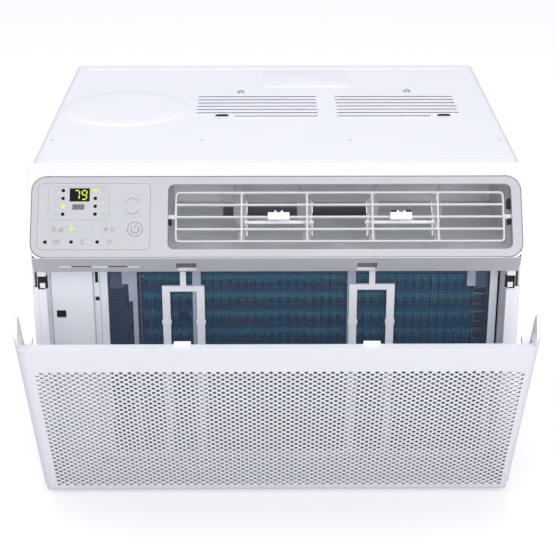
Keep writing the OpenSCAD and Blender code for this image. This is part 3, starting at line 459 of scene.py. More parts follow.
def studio_floor():
    # Matt pale paper sweep. It is lit a little from behind for the camera alone, so that it reads as white
    # and still throws no more light on the underside than pale paper does.
    material = surface("studio_paper", linear("#cdcdcf"), 0.9, mottle=0.004, mottle_mm=400)
    tree = material.node_tree
    seen = add(tree, "ShaderNodeLightPath").outputs["Is Camera Ray"]
    extra = add(tree, "ShaderNodeMath", {0: seen, 1: 0.45}, operation="MULTIPLY")
    shader = tree.nodes["Principled BSDF"]
    shader.inputs["Emission Color"].default_value = (1, 1, 1, 1)
    tree.links.new(extra.outputs[0], shader.inputs["Emission Strength"])
    return material


FINISHES = {
    "white_enamel": white_enamel, "white_plastic": white_plastic, "grey_plastic": grey_plastic,
    "overlay_film": overlay_film, "black_window": black_window, "black_plastic": black_plastic,
    "circuit_board": circuit_board, "louver_plastic": louver_plastic, "duct_plastic": duct_plastic,
    "zinc_steel": zinc_steel, "blue_fins": blue_fins, "bare_fins": bare_fins,
    "copper_tube": copper_tube, "filter_net": filter_net, "clear_plastic": clear_plastic,
    "black_enamel": black_enamel, "rubber": rubber, "fan_plastic": fan_plastic, "foam": foam,
    "steel_shaft": steel_shaft, "aluminium_can": aluminium_can,
}


# ---------- mesh helpers ----------


def link(name, mesh, material=None, smooth_deg=35):
    """An object for a mesh, at the origin, smooth where its faces meet at less than an angle."""
    if material:
        mesh.materials.clear()
        mesh.materials.append(material)
    piece = bpy.data.objects.new(name, mesh)
    bpy.context.scene.collection.objects.link(piece)
    mesh.shade_smooth()
    mesh.set_sharp_from_angle(angle=math.radians(smooth_deg))
    return piece


def to_mesh(name, bm):
    """A mesh from a bmesh, with its doubles merged and its faces turned outwards."""
    bmesh.ops.remove_doubles(bm, verts=bm.verts, dist=0.002 * MM)
    bmesh.ops.recalc_face_normals(bm, faces=bm.faces)
    mesh = bpy.data.meshes.new(name)
    bm.to_mesh(mesh)
    bm.free()
    return mesh


def fix(piece, node, *replaced, slot=None):
    """Lets a piece ride with a node's body and stand for the nodes that it replaces; its slot is not used."""
    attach(piece, BODY_OF[node])
    slot or SLOT_OF[node]
    if replaced:
        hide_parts(*replaced)
    return piece


def place_piece(name, bm, material, node, *replaced, slot=None):
    """A piece made from a bmesh, which rides with a node's body."""
    return fix(link(name, to_mesh(name, bm), material), node, *replaced, slot=slot)


def welded(node):
    """A copy of a CAD node's mesh, welded."""
    bm = bmesh.new()
    bm.from_mesh(frame["nodes"][node].data)
    bmesh.ops.remove_doubles(bm, verts=bm.verts, dist=0.005 * MM)
    mesh = bpy.data.meshes.new(node + "_finished")
    bm.to_mesh(mesh)
    bm.free()
    for name in ("custom_normal", "sharp_edge", "sharp_face"):
        if name in mesh.attributes:
            mesh.attributes.remove(mesh.attributes[name])
    return mesh


def level(piece):
    """Makes a piece's wide faces shade flat beside its rounded edges."""
    piece.modifiers.new("Level faces", "WEIGHTED_NORMAL").keep_sharp = True
    return piece


def rounded(piece, width, segments=2, angle=40):
    """Rounds a piece's edges and keeps its flat faces flat."""
    bevel = piece.modifiers.new("Rounded edges", "BEVEL")
    bevel.width = width
    bevel.segments = segments
    bevel.limit_method = "ANGLE"
    bevel.angle_limit = math.radians(angle)
    bevel.use_clamp_overlap = False
    bevel.miter_outer = "MITER_ARC"
    return level(piece)


def finished(node, material, width, segments=2):
    """A CAD node's shape with moulded or folded edges, in place of the node."""
    piece = link(node + "_finished", welded(node), material)
    rounded(piece, width, segments)
    return fix(piece, node, node)


def repaint(*nodes):
    """Gives CAD nodes that keep their shape their real finish."""
    for node in nodes:
        for slot in frame["nodes"][node].material_slots:
            slot.link = "OBJECT"
            slot.material = FINISHES[SLOT_OF[node]]()


def stacked(bm, rings):
    """Joins rings of equally many points into one closed body."""
    loops = [[bm.verts.new(point) for point in ring] for ring in rings]
    for low, high in zip(loops, loops[1:]):
        for i in range(len(low)):
            j = (i + 1) % len(low)
            bm.faces.new((low[i], low[j], high[j], high[i]))
    bm.faces.new(loops[0][::-1])
    bm.faces.new(loops[-1])


def box_between(bm, low, high):
    """A closed box between two corners."""
    corners = [(low[0], low[1]), (high[0], low[1]), (high[0], high[1]), (low[0], high[1])]
    stacked(bm, [at_height(corners, z) for z in (low[2], high[2])])


def circle(radius, turns):
    """Points of a circle about the origin, anticlockwise."""
    angles = [2 * math.pi * i / turns for i in range(turns)]
    return [(radius * math.cos(a), radius * math.sin(a)) for a in angles]


def moved(outline, across, along):
    """An outline moved in its own plane."""
    return [(x + across, y + along) for x, y in outline]


def at_height(outline, height):
    """An outline's points at one height."""
    return [Vector((x, y, height)) for x, y in outline]


def round_outline(width, height, radius, steps=6):
    """Points of a rounded rectangle about the origin, anticlockwise."""
    points = []
    for quarter, (sx, sy) in enumerate([(1, 1), (-1, 1), (-1, -1), (1, -1)]):
        cx, cy = sx * (width / 2 - radius), sy * (height / 2 - radius)
        for i in range(steps + 1):
            a = math.pi / 2 * (quarter + i / steps)
            points.append((cx + radius * math.cos(a), cy + radius * math.sin(a)))
    return points


def heading(degrees, length=1.0):
    """A step of a length in a direction."""
    return length * math.cos(math.radians(degrees)), length * math.sin(math.radians(degrees))


def arc(cx, cy, radius, start_deg, end_deg, steps=12):
    """Points along an arc, in degrees."""
    angles = [math.radians(start_deg + (end_deg - start_deg) * i / steps) for i in range(steps + 1)]
    return [(cx + radius * math.cos(a), cy + radius * math.sin(a)) for a in angles]


def pad(bm, outline, place, low, high, crown=0.0):
    """A flat or slightly crowned pad over an outline; place puts (x, y, height) into the model."""
    cx = sum(p[0] for p in outline) / len(outline)
    cy = sum(p[1] for p in outline) / len(outline)

    def ring(size, height):
        return [place(cx + (x - cx) * size, cy + (y - cy) * size, height) for x, y in outline]

    rings = [ring(1, low), ring(1, high - crown)]
    if crown:
        rings += [ring(0.86, high - 0.3 * crown), ring(0.6, high)]
    stacked(bm, rings)


def stroke(bm, points, width, place, low, high, closed=False):
    """A flat line of ink or a thin bead along points."""
    count = len(points)
    sides = []
    for i in range(count):
        before = points[i - 1] if closed or i > 0 else points[i]
        after = points[(i + 1) % count] if closed or i < count - 1 else points[i]
        run = Vector((after[0] - before[0], after[1] - before[1])).normalized()
        across = Vector((-run.y, run.x)) * width / 2
        sides.append([(points[i][0] + s * across.x, points[i][1] + s * across.y) for s in (-1, 1)])
    quads = [[place(*sides[i][k], h) for k, h in ((0, low), (1, low), (1, high), (0, high))]
             for i in range(count)]
    loops = [[bm.verts.new(p) for p in quad] for quad in quads]
    pairs = list(zip(loops, loops[1:])) + ([(loops[-1], loops[0])] if closed else [])
    for a, b in pairs:
        for k in range(4):
            bm.faces.new((a[k], a[(k + 1) % 4], b[(k + 1) % 4], b[k]))
    if not closed:
        bm.faces.new(loops[0][::-1])
        bm.faces.new(loops[-1])


# ---------- repeats by Geometry Nodes ----------

REPEAT_INPUTS = (
    ("Piece", "NodeSocketObject", None), ("Columns", "NodeSocketInt", 1), ("Rows", "NodeSocketInt", 1),
    ("Start", "NodeSocketVector", (0, 0, 0)), ("Column step", "NodeSocketVector", (0, 0, 0)),
    ("Row step", "NodeSocketVector", (0, 0, 0)), ("Odd column shift", "NodeSocketVector", (0, 0, 0)),
    ("Turn", "NodeSocketVector", (0, 0, 0)), ("Material", "NodeSocketMaterial", None),
)


def repeat_tree():
    """The tree that repeats a piece in columns and rows, with odd columns shifted."""
    tree = bpy.data.node_groups.get("Repeated pieces")
    if tree:
        return tree
    tree = bpy.data.node_groups.new("Repeated pieces", "GeometryNodeTree")
    for name, kind, default in REPEAT_INPUTS:
        socket = tree.interface.new_socket(name, in_out="INPUT", socket_type=kind)
        if default is not None:
            socket.default_value = default
    tree.interface.new_socket("Geometry", in_out="OUTPUT", socket_type="NodeSocketGeometry")
    given = add(tree, "NodeGroupInput").outputs
    count = add(tree, "ShaderNodeMath", {0: given["Columns"], 1: given["Rows"]}, operation="MULTIPLY")
    points = add(tree, "GeometryNodePoints", {"Count": count.outputs[0]})
    index = add(tree, "GeometryNodeInputIndex").outputs[0]
    share = add(tree, "ShaderNodeMath", {0: index, 1: given["Rows"]}, operation="DIVIDE").outputs[0]
    column = add(tree, "ShaderNodeMath", {0: share}, operation="FLOOR").outputs[0]
    row = add(tree, "ShaderNodeMath", {0: index, 1: given["Rows"]}, operation="MODULO").outputs[0]
    odd = add(tree, "ShaderNodeMath", {0: column, 1: 2.0}, operation="MODULO").outputs[0]
    place = given["Start"]
    for name, factor in (("Column step", column), ("Row step", row), ("Odd column shift", odd)):
        part = add(tree, "ShaderNodeVectorMath", {0: given[name], "Scale": factor}, operation="SCALE")
        step = add(tree, "ShaderNodeVectorMath", {0: place, 1: part.outputs[0]}, operation="ADD")
        place = step.outputs[0]
    placed = add(tree, "GeometryNodeSetPosition", {"Geometry": points.outputs[0], "Position": place})
    piece = add(tree, "GeometryNodeObjectInfo", {"Object": given["Piece"]})
    copies = add(tree, "GeometryNodeInstanceOnPoints", {
        "Points": placed.outputs[0], "Instance": piece.outputs["Geometry"], "Rotation": given["Turn"],
    })
    real = add(tree, "GeometryNodeRealizeInstances", {0: copies.outputs[0]})
    painted = add(tree, "GeometryNodeSetMaterial", {
        "Geometry": real.outputs[0], "Material": given["Material"],
    })
    add(tree, "NodeGroupOutput", {"Geometry": painted.outputs[0]})
    return tree


def repeated(name, cell, material, **inputs):
    """A plain mesh of a bmesh cell repeated by the tree; inputs are named with _ for spaces."""
    mould = bpy.data.objects.new(name + "_cell", to_mesh(name + "_cell", cell))
    bpy.context.scene.collection.objects.link(mould)
    host = bpy.data.objects.new(name + "_host", bpy.data.meshes.new(name + "_host"))
    bpy.context.scene.collection.objects.link(host)
    modifier = host.modifiers.new("Repeated pieces", "NODES")
    modifier.node_group = repeat_tree()
    values = {"Piece": mould, "Material": material}
    values.update({key.replace("_", " ").capitalize(): value for key, value in inputs.items()})
    for item in modifier.node_group.interface.items_tree:
        if item.in_out == "INPUT" and item.name in values:
            modifier[item.identifier] = values[item.name]
    graph = bpy.context.evaluated_depsgraph_get()
    mesh = bpy.data.meshes.new_from_object(host.evaluated_get(graph), depsgraph=graph)
    if not mesh.polygons:
        raise RuntimeError(f"the repeat {name} came out empty")
    bpy.data.objects.remove(host)
    bpy.data.objects.remove(mould)
    return mesh


def joined(name, meshes):
    """One mesh from several, which are removed."""
    bm = bmesh.new()
    for mesh in meshes:
        bm.from_mesh(mesh)
        bpy.data.meshes.remove(mesh)
    mesh = bpy.data.meshes.new(name)
    bm.to_mesh(mesh)
    bm.free()
    return mesh


# ---------- stage ----------


class WINDOWUNIT_OT_stage(bpy.types.Operator):
    """Sets the floor, the lights and the camera"""

    bl_idname = "window_unit.stage"
    bl_label = "Stage"

    def execute(self, context):
        scene = context.scene
        scene.view_settings.view_transform = "Standard"
        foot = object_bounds()[0].z
        bm = bmesh.new()
        reach = 40.0
        thickness = 20 * MM
        clearance = 0.1 * MM
        box_between(bm, (-reach, -reach, foot - thickness), (reach, reach, foot - clearance))
        link("studio_floor", to_mesh("studio_floor", bm), studio_floor())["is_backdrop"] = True
        world = bpy.data.worlds.new("Soft studio")
        scene.world = world
        world.use_nodes = True
        world.node_tree.nodes.clear()
        # brighter overhead than at the horizon, like a room with a white ceiling
        tree = world.node_tree
        coords = add(tree, "ShaderNodeTexCoord").outputs["Generated"]
        height = add(tree, "ShaderNodeSeparateXYZ", {"Vector": coords}).outputs["Z"]
        glow = add(tree, "ShaderNodeMapRange", {"Value": height, "To Min": 0.44, "To Max": 0.9})
        sky = add(tree, "ShaderNodeBackground", {
            "Color": linear("#f8f9ff"), "Strength": glow.outputs["Result"],
        })
        add(tree, "ShaderNodeOutputWorld", {"Surface": sky.outputs[0]})
        self.lamp("Top softbox", (-0.3, 0.0, 2.4), (0, 0, 0.3), 2.2, 18)
        self.lamp("Front softbox", (0.4, -2.7, 1.05), (0, -0.2, 0.2), 1.6, 36)
        camera_data = bpy.data.cameras.new("Camera")
        camera_data.sensor_width = 36
        camera_data.lens = 95.3
        camera = bpy.data.objects.new("Camera", camera_data)
        scene.collection.objects.link(camera)
        tilt, turn = math.radians(67.38), math.radians(-0.35)
        camera.location = (-0.00667, -1.5213, 0.77975)
        camera.rotation_euler = (tilt, 0, turn)
        scene.camera = camera
        return {"FINISHED"}

    def lamp(self, name, place, aim, size, power):
        """A square softbox that looks at a point."""
        data = bpy.data.lights.new(name, "AREA")
        data.size = size
        data.energy = power
        lamp = bpy.data.objects.new(name, data)
        bpy.context.scene.collection.objects.link(lamp)
        lamp.location = place
        lamp.rotation_euler = (Vector(aim) - Vector(place)).to_track_quat("-Z", "Y").to_euler()


# ---------- cabinet ----------


def hood(length, depth, rise):
    """A pressed louvre hood, open at the front: X along it, Y from its mouth to its back, Z up."""
    taper = 3.2 * MM
    skin = 0.7 * MM
    ends = [0, 0.25, 0.55, 1]
    xs = [-length / 2 + taper * t for t in ends] + [length / 2 - taper * t for t in reversed(ends)]
    swell = [0.02, 0.35, 0.85, 1, 1, 0.85, 0.35, 0.02]
    fall = [(0, 1), (0.3, 0.95), (0.65, 0.5), (1, 0)]
    bm = bmesh.new()
    rings = []
    for x, s in zip(xs, swell):
        top = [Vector((x, depth * u, rise * s * v + 0.02 * MM)) for u, v in fall]
        under = [p - Vector((0, 0, skin)) for p in top]
        rings.append(top + under[::-1])
    stacked(bm, rings)
    return bm


class WINDOWUNIT_OT_cabinet(bpy.types.Operator):
    """Builds the steel cabinet with its louvres, raised forms and screws"""

    bl_idname = "window_unit.cabinet"
    bl_label = "Cabinet"

    # louvre groups on the top, in mm: left and right, then left and right of the shorter front row
    TOP_GROUPS = ((-83, 43.5, -42, 43.5), (66, 193, 66, 162))
    TOP_FIRST = 155.6 * MM      # from the front edge to the first row's mouth
    TOP_STEP = 12.5 * MM
    TOP_ROWS = 7
    HOOD_DEPTH = 8.2 * MM
    HOOD_OVERLAP = 5 * MM       # a hood is longer than its slot by this
    CATCH_PLACES = (-56.3, 176.8)
    CATCH_HALF = 6.4 * MM
    SIDE_FIRST = 207.6 * MM
    SIDE_HEIGHT = 110 * MM
    SIDE_LENGTH = 74 * MM

    def execute(self, context):
        sizes = settings().cabinet
        enamel = white_enamel()
        low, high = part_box("cabinet_shell")
        shell = level(link("cabinet_shell_finished", welded("cabinet_shell"), enamel))
        fix(shell, "cabinet_shell", "cabinet_shell")
        self.hoods(sizes, enamel, low.y, high.x)
        self.raised_forms(sizes, enamel, low.y)
        self.screws(low.y, high.y, high.x)
        return {"FINISHED"}

    def hoods(self, sizes, enamel, front, side):
        """Seven rows of louvres in two groups on the top, and two rows on each side."""
        first = front + self.TOP_FIRST
        meshes = []
        for left, right, front_left, front_right in self.TOP_GROUPS:
            for row, rows, a, b in ((0, 1, front_left, front_right), (1, self.TOP_ROWS - 1, left, right)):
                cell = hood((b - a) * MM + self.HOOD_OVERLAP, self.HOOD_DEPTH, sizes.hood_rise)
                start = ((a + b) / 2 * MM, first + row * self.TOP_STEP, CABINET_TOP)
                meshes.append(repeated("top_louvre", cell, enamel, rows=rows,
                                       row_step=(0, self.TOP_STEP, 0), start=start))
        for sign in (-1, 1):
            cell = hood(self.SIDE_LENGTH, self.HOOD_DEPTH, sizes.hood_rise)
            turned_out(cell, sign)
            start = (sign * side, front + self.SIDE_FIRST, self.SIDE_HEIGHT)
            meshes.append(repeated("side_louvre", cell, enamel, columns=10, rows=2, start=start,
                                   column_step=(0, 13 * MM, 0), row_step=(0, 0, 90 * MM)))
        # black boxes under the two catch hoods: painted shade in their mouths
        dark = bmesh.new()
        for place in self.CATCH_PLACES:
            x = place * MM
            meshes.append(repeated("catch", hood(16 * MM, 8 * MM, 3 * MM), enamel,
                                   start=(x, first + 0.6 * MM, CABINET_TOP)))
            box_between(dark, (x - self.CATCH_HALF, first + 0.8 * MM, CABINET_TOP - 0.5 * MM),
                        (x + self.CATCH_HALF, first + 2 * MM, CABINET_TOP + 2.3 * MM))
        fix(link("cabinet_louvres", joined("cabinet_louvres", meshes), enamel), "cabinet_shell")
        place_piece("catch_mouths", dark, black_plastic(), "cabinet_shell", slot="black_plastic")

    def raised_forms(self, sizes, enamel, front):
        """The raised round over the compressor, the pressed step at the back, and two folded beads."""
        bury = 0.4 * MM
        bm = bmesh.new()
        # the round's shares of its radius and of its rise
        slope = ((1.0, -bury / sizes.round_rise), (1.0, 0.0), (0.992, 0.08), (0.975, 0.5), (0.958, 0.92),
                 (0.95, 1.0), (0.7, 1.02))
        radius = 67 * MM
        centre = (-160 * MM, front + 187.3 * MM)
        stacked(bm, [at_height(moved(circle(radius * share, 96), *centre),
                               CABINET_TOP + rise * sizes.round_rise) for share, rise in slope])
        width, depth, corner = 101 * MM, 76 * MM, 7 * MM
        middle = (35 * MM, front + 308 * MM)
        rings = []
        for inset, rise in ((0, -bury), (0, 0), (0.7 * MM, 0.1 * MM), (1.6 * MM, 0.6 * MM),
                            (2.3 * MM, 0.7 * MM)):
            outline = round_outline(width - 2 * inset, depth - 2 * inset, corner - inset)
            rings.append(at_height(moved(outline, *middle), CABINET_TOP + rise))
        stacked(bm, rings)
        # a folded bead along the back edge and a lower one behind the front edge
        half = 222 * MM
        bead = ((-3, -0.4), (3, -0.4), (2, 0.2), (0.8, 0.55), (-0.8, 0.55), (-2, 0.2))
        for back, size in ((352, 1.0), (8.5, 0.5)):
            stacked(bm, [[Vector((x, front + (back + across) * MM, CABINET_TOP + rise * size * MM))
                          for across, rise in bead] for x in (-half, half)])
        fix(link("cabinet_raised_forms", to_mesh("cabinet_raised_forms", bm), enamel, 50), "cabinet_shell")

    def screws(self, front, back, side):
        """Pan-head screws with a cross recess, in place of the plain ones."""
        steel = zinc_steel()
        meshes = []
        for x, y in ((-38, 249), (146, 252)):
            meshes.append(repeated("top_screw", screw_head(), steel,
                                   start=(x * MM, front + y * MM, CABINET_TOP)))
        from_front, from_back, height = 50 * MM, 30 * MM, 18 * MM
        reach = back - front - from_front - from_back
        for sign in (-1, 1):
            cell = screw_head()
            turned_out(cell, sign)
            meshes.append(repeated("side_screw", cell, steel, columns=2, column_step=(0, reach, 0),
                                   start=(sign * side, front + from_front, height)))
        piece = link("cabinet_screw_heads", joined("cabinet_screw_heads", meshes), steel)
        fix(piece, "cabinet_screws", "cabinet_screws")


def turned_out(bm, sign):
    """Turns a cell that faces up so that it faces out of the right (1) or the left (-1) side."""
    bmesh.ops.rotate(bm, verts=bm.verts, matrix=Matrix.Rotation(sign * math.pi / 2, 3, "Y"))


def screw_head():
    """A domed head with a cross recess, standing on z 0."""
    turns = 24
    radius = 3.9 * MM
    dome = ((1.0, -0.6), (1.0, 0.5), (0.93, 1.2), (0.75, 1.8), (0.5, 2.1))
    rings = [at_height(circle(radius * share, turns), height * MM) for share, height in dome]
    arm, waist = 1.75 * MM, 0.63 * MM
    near_arm = 0.27
    cross = []
    for x, y in circle(1.0, turns):
        reach = arm if min(abs(x), abs(y)) < near_arm else waist
        cross.append((x * reach, y * reach))
    rings += [at_height(cross, height * MM) for height in (2.15, 0.9)]
    bm = bmesh.new()
    stacked(bm, rings)
    return bm


# ---------- front ----------


class WINDOWUNIT_OT_front(bpy.types.Operator):
    """Builds the white front frame, its catches and the cover beside the filter"""

    bl_idname = "window_unit.front"
    bl_label = "Front frame"

    def execute(self, context):
        plastic = white_plastic()
        edge = settings().front.edge
        frame_piece = finished("front_frame", plastic, edge)
        self.lip_painted_shade(frame_piece)
        finished("side_cover", plastic, 0.4 * MM)
        self.catches(plastic)
        self.underside(plastic)
        return {"FINISHED"}

    def lip_painted_shade(self, piece):
        """The bezel's grey on the lip's slanted underside, on the faces that look down and forward, as
        painted shade under the lip.
        """
        piece.data.materials.append(grey_plastic())
        facing = Vector((0, -math.cos(UNDERSIDE_LEAN), -math.sin(UNDERSIDE_LEAN)))
        lip = on_face(0, LIP_DOWN)
        for face in piece.data.polygons:
            near = abs((face.center - lip).dot(facing)) < 1.5 * MM
            if near and abs(face.center.z - lip.z) < 25 * MM and face.normal.dot(facing) > 0.9:
                face.material_index = 1

    def catches(self, plastic):
        """White catch blocks in the latch slots, and black pads behind the openings: painted shade in the
        sockets.
        """
        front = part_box("cabinet_shell")[0].y
        face = front - COLUMN_REACH
        bm = bmesh.new()
        dark = bmesh.new()
        # in mm: body, near and far from the middle, behind the column's face, and below the top
        for mesh, near, far, shallow, deep, low, high in (
                (bm, 224.6, 229.8, 3.3, 4.3, 121.4, 116.2), (dark, 222.2, 231.8, 4.2, 5.4, 121.8, 108.2)):
            for sign in (-1, 1):
                left, right = sorted((sign * near * MM, sign * far * MM))
                box_between(mesh, (left, face + shallow * MM, CABINET_TOP - low * MM),
                            (right, face + deep * MM, CABINET_TOP - high * MM))
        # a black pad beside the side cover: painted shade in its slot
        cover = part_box("side_cover")[0]
        box_between(dark, (cover.x + 2 * MM, front + 7.4 * MM, CABINET_TOP - 165 * MM),
                    (cover.x + 15.5 * MM, front + 9 * MM, CABINET_TOP - 154 * MM))
        blocks = link("latch_blocks", to_mesh("latch_blocks", bm), plastic)
        fix(rounded(blocks, 0.4 * MM), "front_frame")
        place_piece("latch_sockets", dark, black_plastic(), "front_frame", slot="black_plastic")

    def underside(self, plastic):
        """White bars, and dark strips of painted shade for the vent slots, in turns, along the lip's
        underside.
        """
        lip = on_face(0, LIP_DOWN)
        along_lip = Vector((0, math.sin(UNDERSIDE_LEAN), -math.cos(UNDERSIDE_LEAN)))
        out = Vector((0, -math.cos(UNDERSIDE_LEAN), -math.sin(UNDERSIDE_LEAN)))

        def place(x, along, height):
            point = lip + along_lip * along + out * height
            return Vector((x, point.y, point.z))

        # in mm: the spans, how far down the underside, the width and the corners
        bars = (((-206.7, -194.9), (-175.9, -160.2), (-141.7, -130.4)), 14.6, 2.4, 1.1, 3, 0.12)
        slots = (((-194.9, -175.9), (-160.2, -141.7)), 13.9, 1.3, 0.3, 2, 0.1)
        for name, material, slot, (spans, down, width, corner, steps, rise) in (
                ("lip_bars", plastic, None, bars), ("lip_slots", black_plastic(), "black_plastic", slots)):
            bm = bmesh.new()
            for left, right in spans:
                outline = round_outline((right - left) * MM, width * MM, corner * MM, steps)
                pad(bm, moved(outline, (left + right) / 2 * MM, down * MM), place, -0.5 * MM, rise * MM)
            place_piece(name, bm, material, "front_frame", slot=slot)


class WINDOWUNIT_OT_controls(bpy.types.Operator):
    """Builds the bezel, the overlay with its keys, the display and the lamps"""

    bl_idname = "window_unit.controls"
    bl_label = "Bezel and controls"

    KEYS = {
        "power": (-134, 52.4), "up": (-136.6, 23.2), "down": (-136.6, 36.3), "mode": (-158.6, 52.4),
        "fan_speed": (-207.7, 52.4), "eco": (-182.7, 52.4), "filter": (-208.3, 64.8),
        "sleep": (-183.3, 64.8), "timer": (-158.3, 64.8),
    }
    # width, height and corner of a key's cap in mm, and the corner's steps
    CAPS = {"power": (15.2, 15.2, 7.79, 12), "up": (14, 8, 2.7, 6), "down": (14, 8, 2.7, 6)}
    OVAL_CAP = (16.4, 6.4, 2, 6)
    CAP_GROWTH = 0.27 * MM      # a cap fills its window's gap by this on each side
    LAMP_FIRST = 14.4 * MM
    LAMP_STEP = 7.75 * MM
    LAMP_ROWS = 4
    # the rows of lit lamps in each of the two columns, and the lamps beside the keys: across, down, lit
    LAMP_COLUMNS = ((-202.7, (2,)), (-172.1, (0,)))
    KEY_LAMPS = ((-193.8, 52.1, True), (-218.6, 64.8, False), (-194, 64.8, False), (-169.4, 64.8, False))

    def execute(self, context):
        finished("bezel", grey_plastic(), 0.4 * MM)
        finished("control_overlay", overlay_film(), 0.04 * MM, 1)
        windows = finished("display_windows", black_window(), 0.2 * MM)
        windows.data.materials.append(grey_window())
        # the receiver's window lies below the display's, on the same piece
        border = on_face(0, 25.8 * MM).z
        for face in windows.data.polygons:
            face.material_index = int(face.center.z < border)
        self.seam()
        repaint("control_board", "indicator_lights")
        self.keys()
        self.outlines()
        self.reading()
        self.lamps()
        return {"FINISHED"}

    def seam(self):
        """Painted shadow along the joint between the bezel and the white frame, and black pads of painted
        shade in the pivots' notches.
        """
        bm = bmesh.new()
        middle = 40.3 * MM
        outline = [(x, middle - y) for x, y in round_outline(465.4 * MM, 79.2 * MM, 13.9 * MM, 10)]
        # a grey stroke along the bezel's outline: painted shadow in the joint
        stroke(bm, outline, 0.7 * MM, on_face, -0.5 * MM, 0.05 * MM, closed=True)
        place_piece("bezel_joint", bm, joint_shadow(), "bezel")
        # black pads deep in the pivots' notches: painted shade
        bm = bmesh.new()
        for x, down in ((-101.4, 41.6), (221.8, 41.6), (221.8, 26)):
            outline = round_outline(3 * MM, 8.5 * MM, 0.5 * MM, 2)
            pad(bm, moved(outline, x * MM, down * MM), on_face, -13 * MM, -4.5 * MM)
        place_piece("pivot_notches", bm, black_plastic(), "bezel")

    def keys(self):
        """Film keys that almost fill their windows, with their marks."""
        film = overlay_film()
        for name, (x, down) in self.KEYS.items():
            node = "key_" + name
            width, height, corner, steps = self.CAPS.get(name, self.OVAL_CAP)
            outline = round_outline(width * MM + 2 * self.CAP_GROWTH, height * MM + 2 * self.CAP_GROWTH,
                                    corner * MM, steps)
            bm = bmesh.new()

            def place(px, py, height, x=x, down=down):
                return on_face(x * MM + px, down * MM - py, height)

            pad(bm, outline, place, -1.8 * MM, 0.0)
            place_piece(node + "_cap", bm, film, node, node)
            bm = bmesh.new()
            self.mark(bm, name, place)
            ink = teal_ink() if name == "eco" else print_ink()
            place_piece(node + "_mark", bm, ink, node, slot="overlay_film")

    def mark(self, bm, name, place):
        """The mark of one key, in strokes."""
        line = 0.75 * MM
        low, high = -0.05 * MM, 0.06 * MM

        def draw(points, width=line, closed=False):
            stroke(bm, [(px * MM, py * MM) for px, py in points], width, place, low, high, closed)

        if name == "power":
            draw(arc(0, 0, 7.0, 0, 348, 29), closed=True)
            draw(arc(0, -0.2, 3.7, -230, 50, 20), 0.9 * MM)
            draw([(0, 0.6), (0, 4.2)], 0.9 * MM)
        elif name == "up":
            draw([(-5.8, -1.4), (-0.9, 1.35), (0.9, 1.35), (5.8, -1.4)])
        elif name == "down":
            draw([(-5.8, 1.4), (-0.9, -1.35), (0.9, -1.35), (5.8, 1.4)])
        elif name == "mode":
            for turn in (0, 60, 120):
                x, y = heading(turn, 2.3)
                draw([(-3 - x, -y), (-3 + x, y)], 0.5 * MM)
            draw(arc(3.2, 0, 1.3, 0, 330, 11), 0.5 * MM, closed=True)
            for turn in range(0, 360, 45):
                draw(moved([heading(turn, 1.9), heading(turn, 2.7)], 3.2, 0), 0.4 * MM)
        elif name == "fan_speed":
            for turn in (90, 210, 330):
                x, y = heading(turn, 1.5)
                draw(moved([heading(turn + a, 1.1) for a in range(0, 360, 40)], x - 3.2, y), 0.45 * MM,
                     closed=True)
            for i in range(3):
                draw([(1.6 + 1.7 * i, -2.2), (1.6 + 1.7 * i, -0.4 + 1.2 * i)], 0.9 * MM)
        elif name == "eco":
            leaf = arc(-1.2, -1.2, 3.6, 0, 90, 8) + arc(2.4, 2.4, 3.6, 180, 270, 8)[1:-1]
            draw(leaf, 0.55 * MM, closed=True)
            draw([(-2.6, -2.6), (1.2, 1.2)], 0.5 * MM)
        elif name == "filter":
            draw([(-3.4, -1.9), (3.4, -1.9), (3.4, 1.9), (-3.4, 1.9)], 0.5 * MM, closed=True)
            for x in (-1.9, -0.63, 0.63, 1.9):
                draw([(x, -1.7), (x, 1.7)], 0.35 * MM)
        elif name == "sleep":
            draw(arc(0, 0, 2.3, 50, 310, 14) + arc(1.5, 0, 1.8, 260, 100, 10), 0.45 * MM, closed=True)
        else:
            draw(arc(0, 0, 2.2, 0, 330, 11), 0.5 * MM, closed=True)
            draw([(0, 1.4), (0, 0), (1.1, -0.5)], 0.45 * MM)

    def outlines(self):
        """The pressed outline round the display and the small marks beside its lamps."""
        bm = bmesh.new()
        left, right, top, low = -216.6 * MM, -159 * MM, 10.9 * MM, 43.3 * MM
        outline = moved(round_outline(right - left, low - top, 3 * MM), (left + right) / 2, (top + low) / 2)
        stroke(bm, outline, 0.55 * MM, on_face, -0.05 * MM, 0.07 * MM, closed=True)
        place_piece("display_outline", bm, pale_ink(), "control_overlay")
        bm = bmesh.new()
        for side, start in ((-1, -205.6), (1, -167.4)):
            for row in range(self.LAMP_ROWS):
                middle = self.LAMP_FIRST + self.LAMP_STEP * row
                for k in range(4 if row % 2 else 3):
                    x = (start + side * (0.8 + 1.75 * k)) * MM
                    tall = (0.55 + 0.28 * ((k + row) % 3)) * MM
                    stroke(bm, [(x, middle - tall), (x, middle + tall)], 0.7 * MM, on_face,
                           -0.05 * MM, 0.05 * MM)
        place_piece("lamp_marks", bm, pale_ink(), "control_overlay")

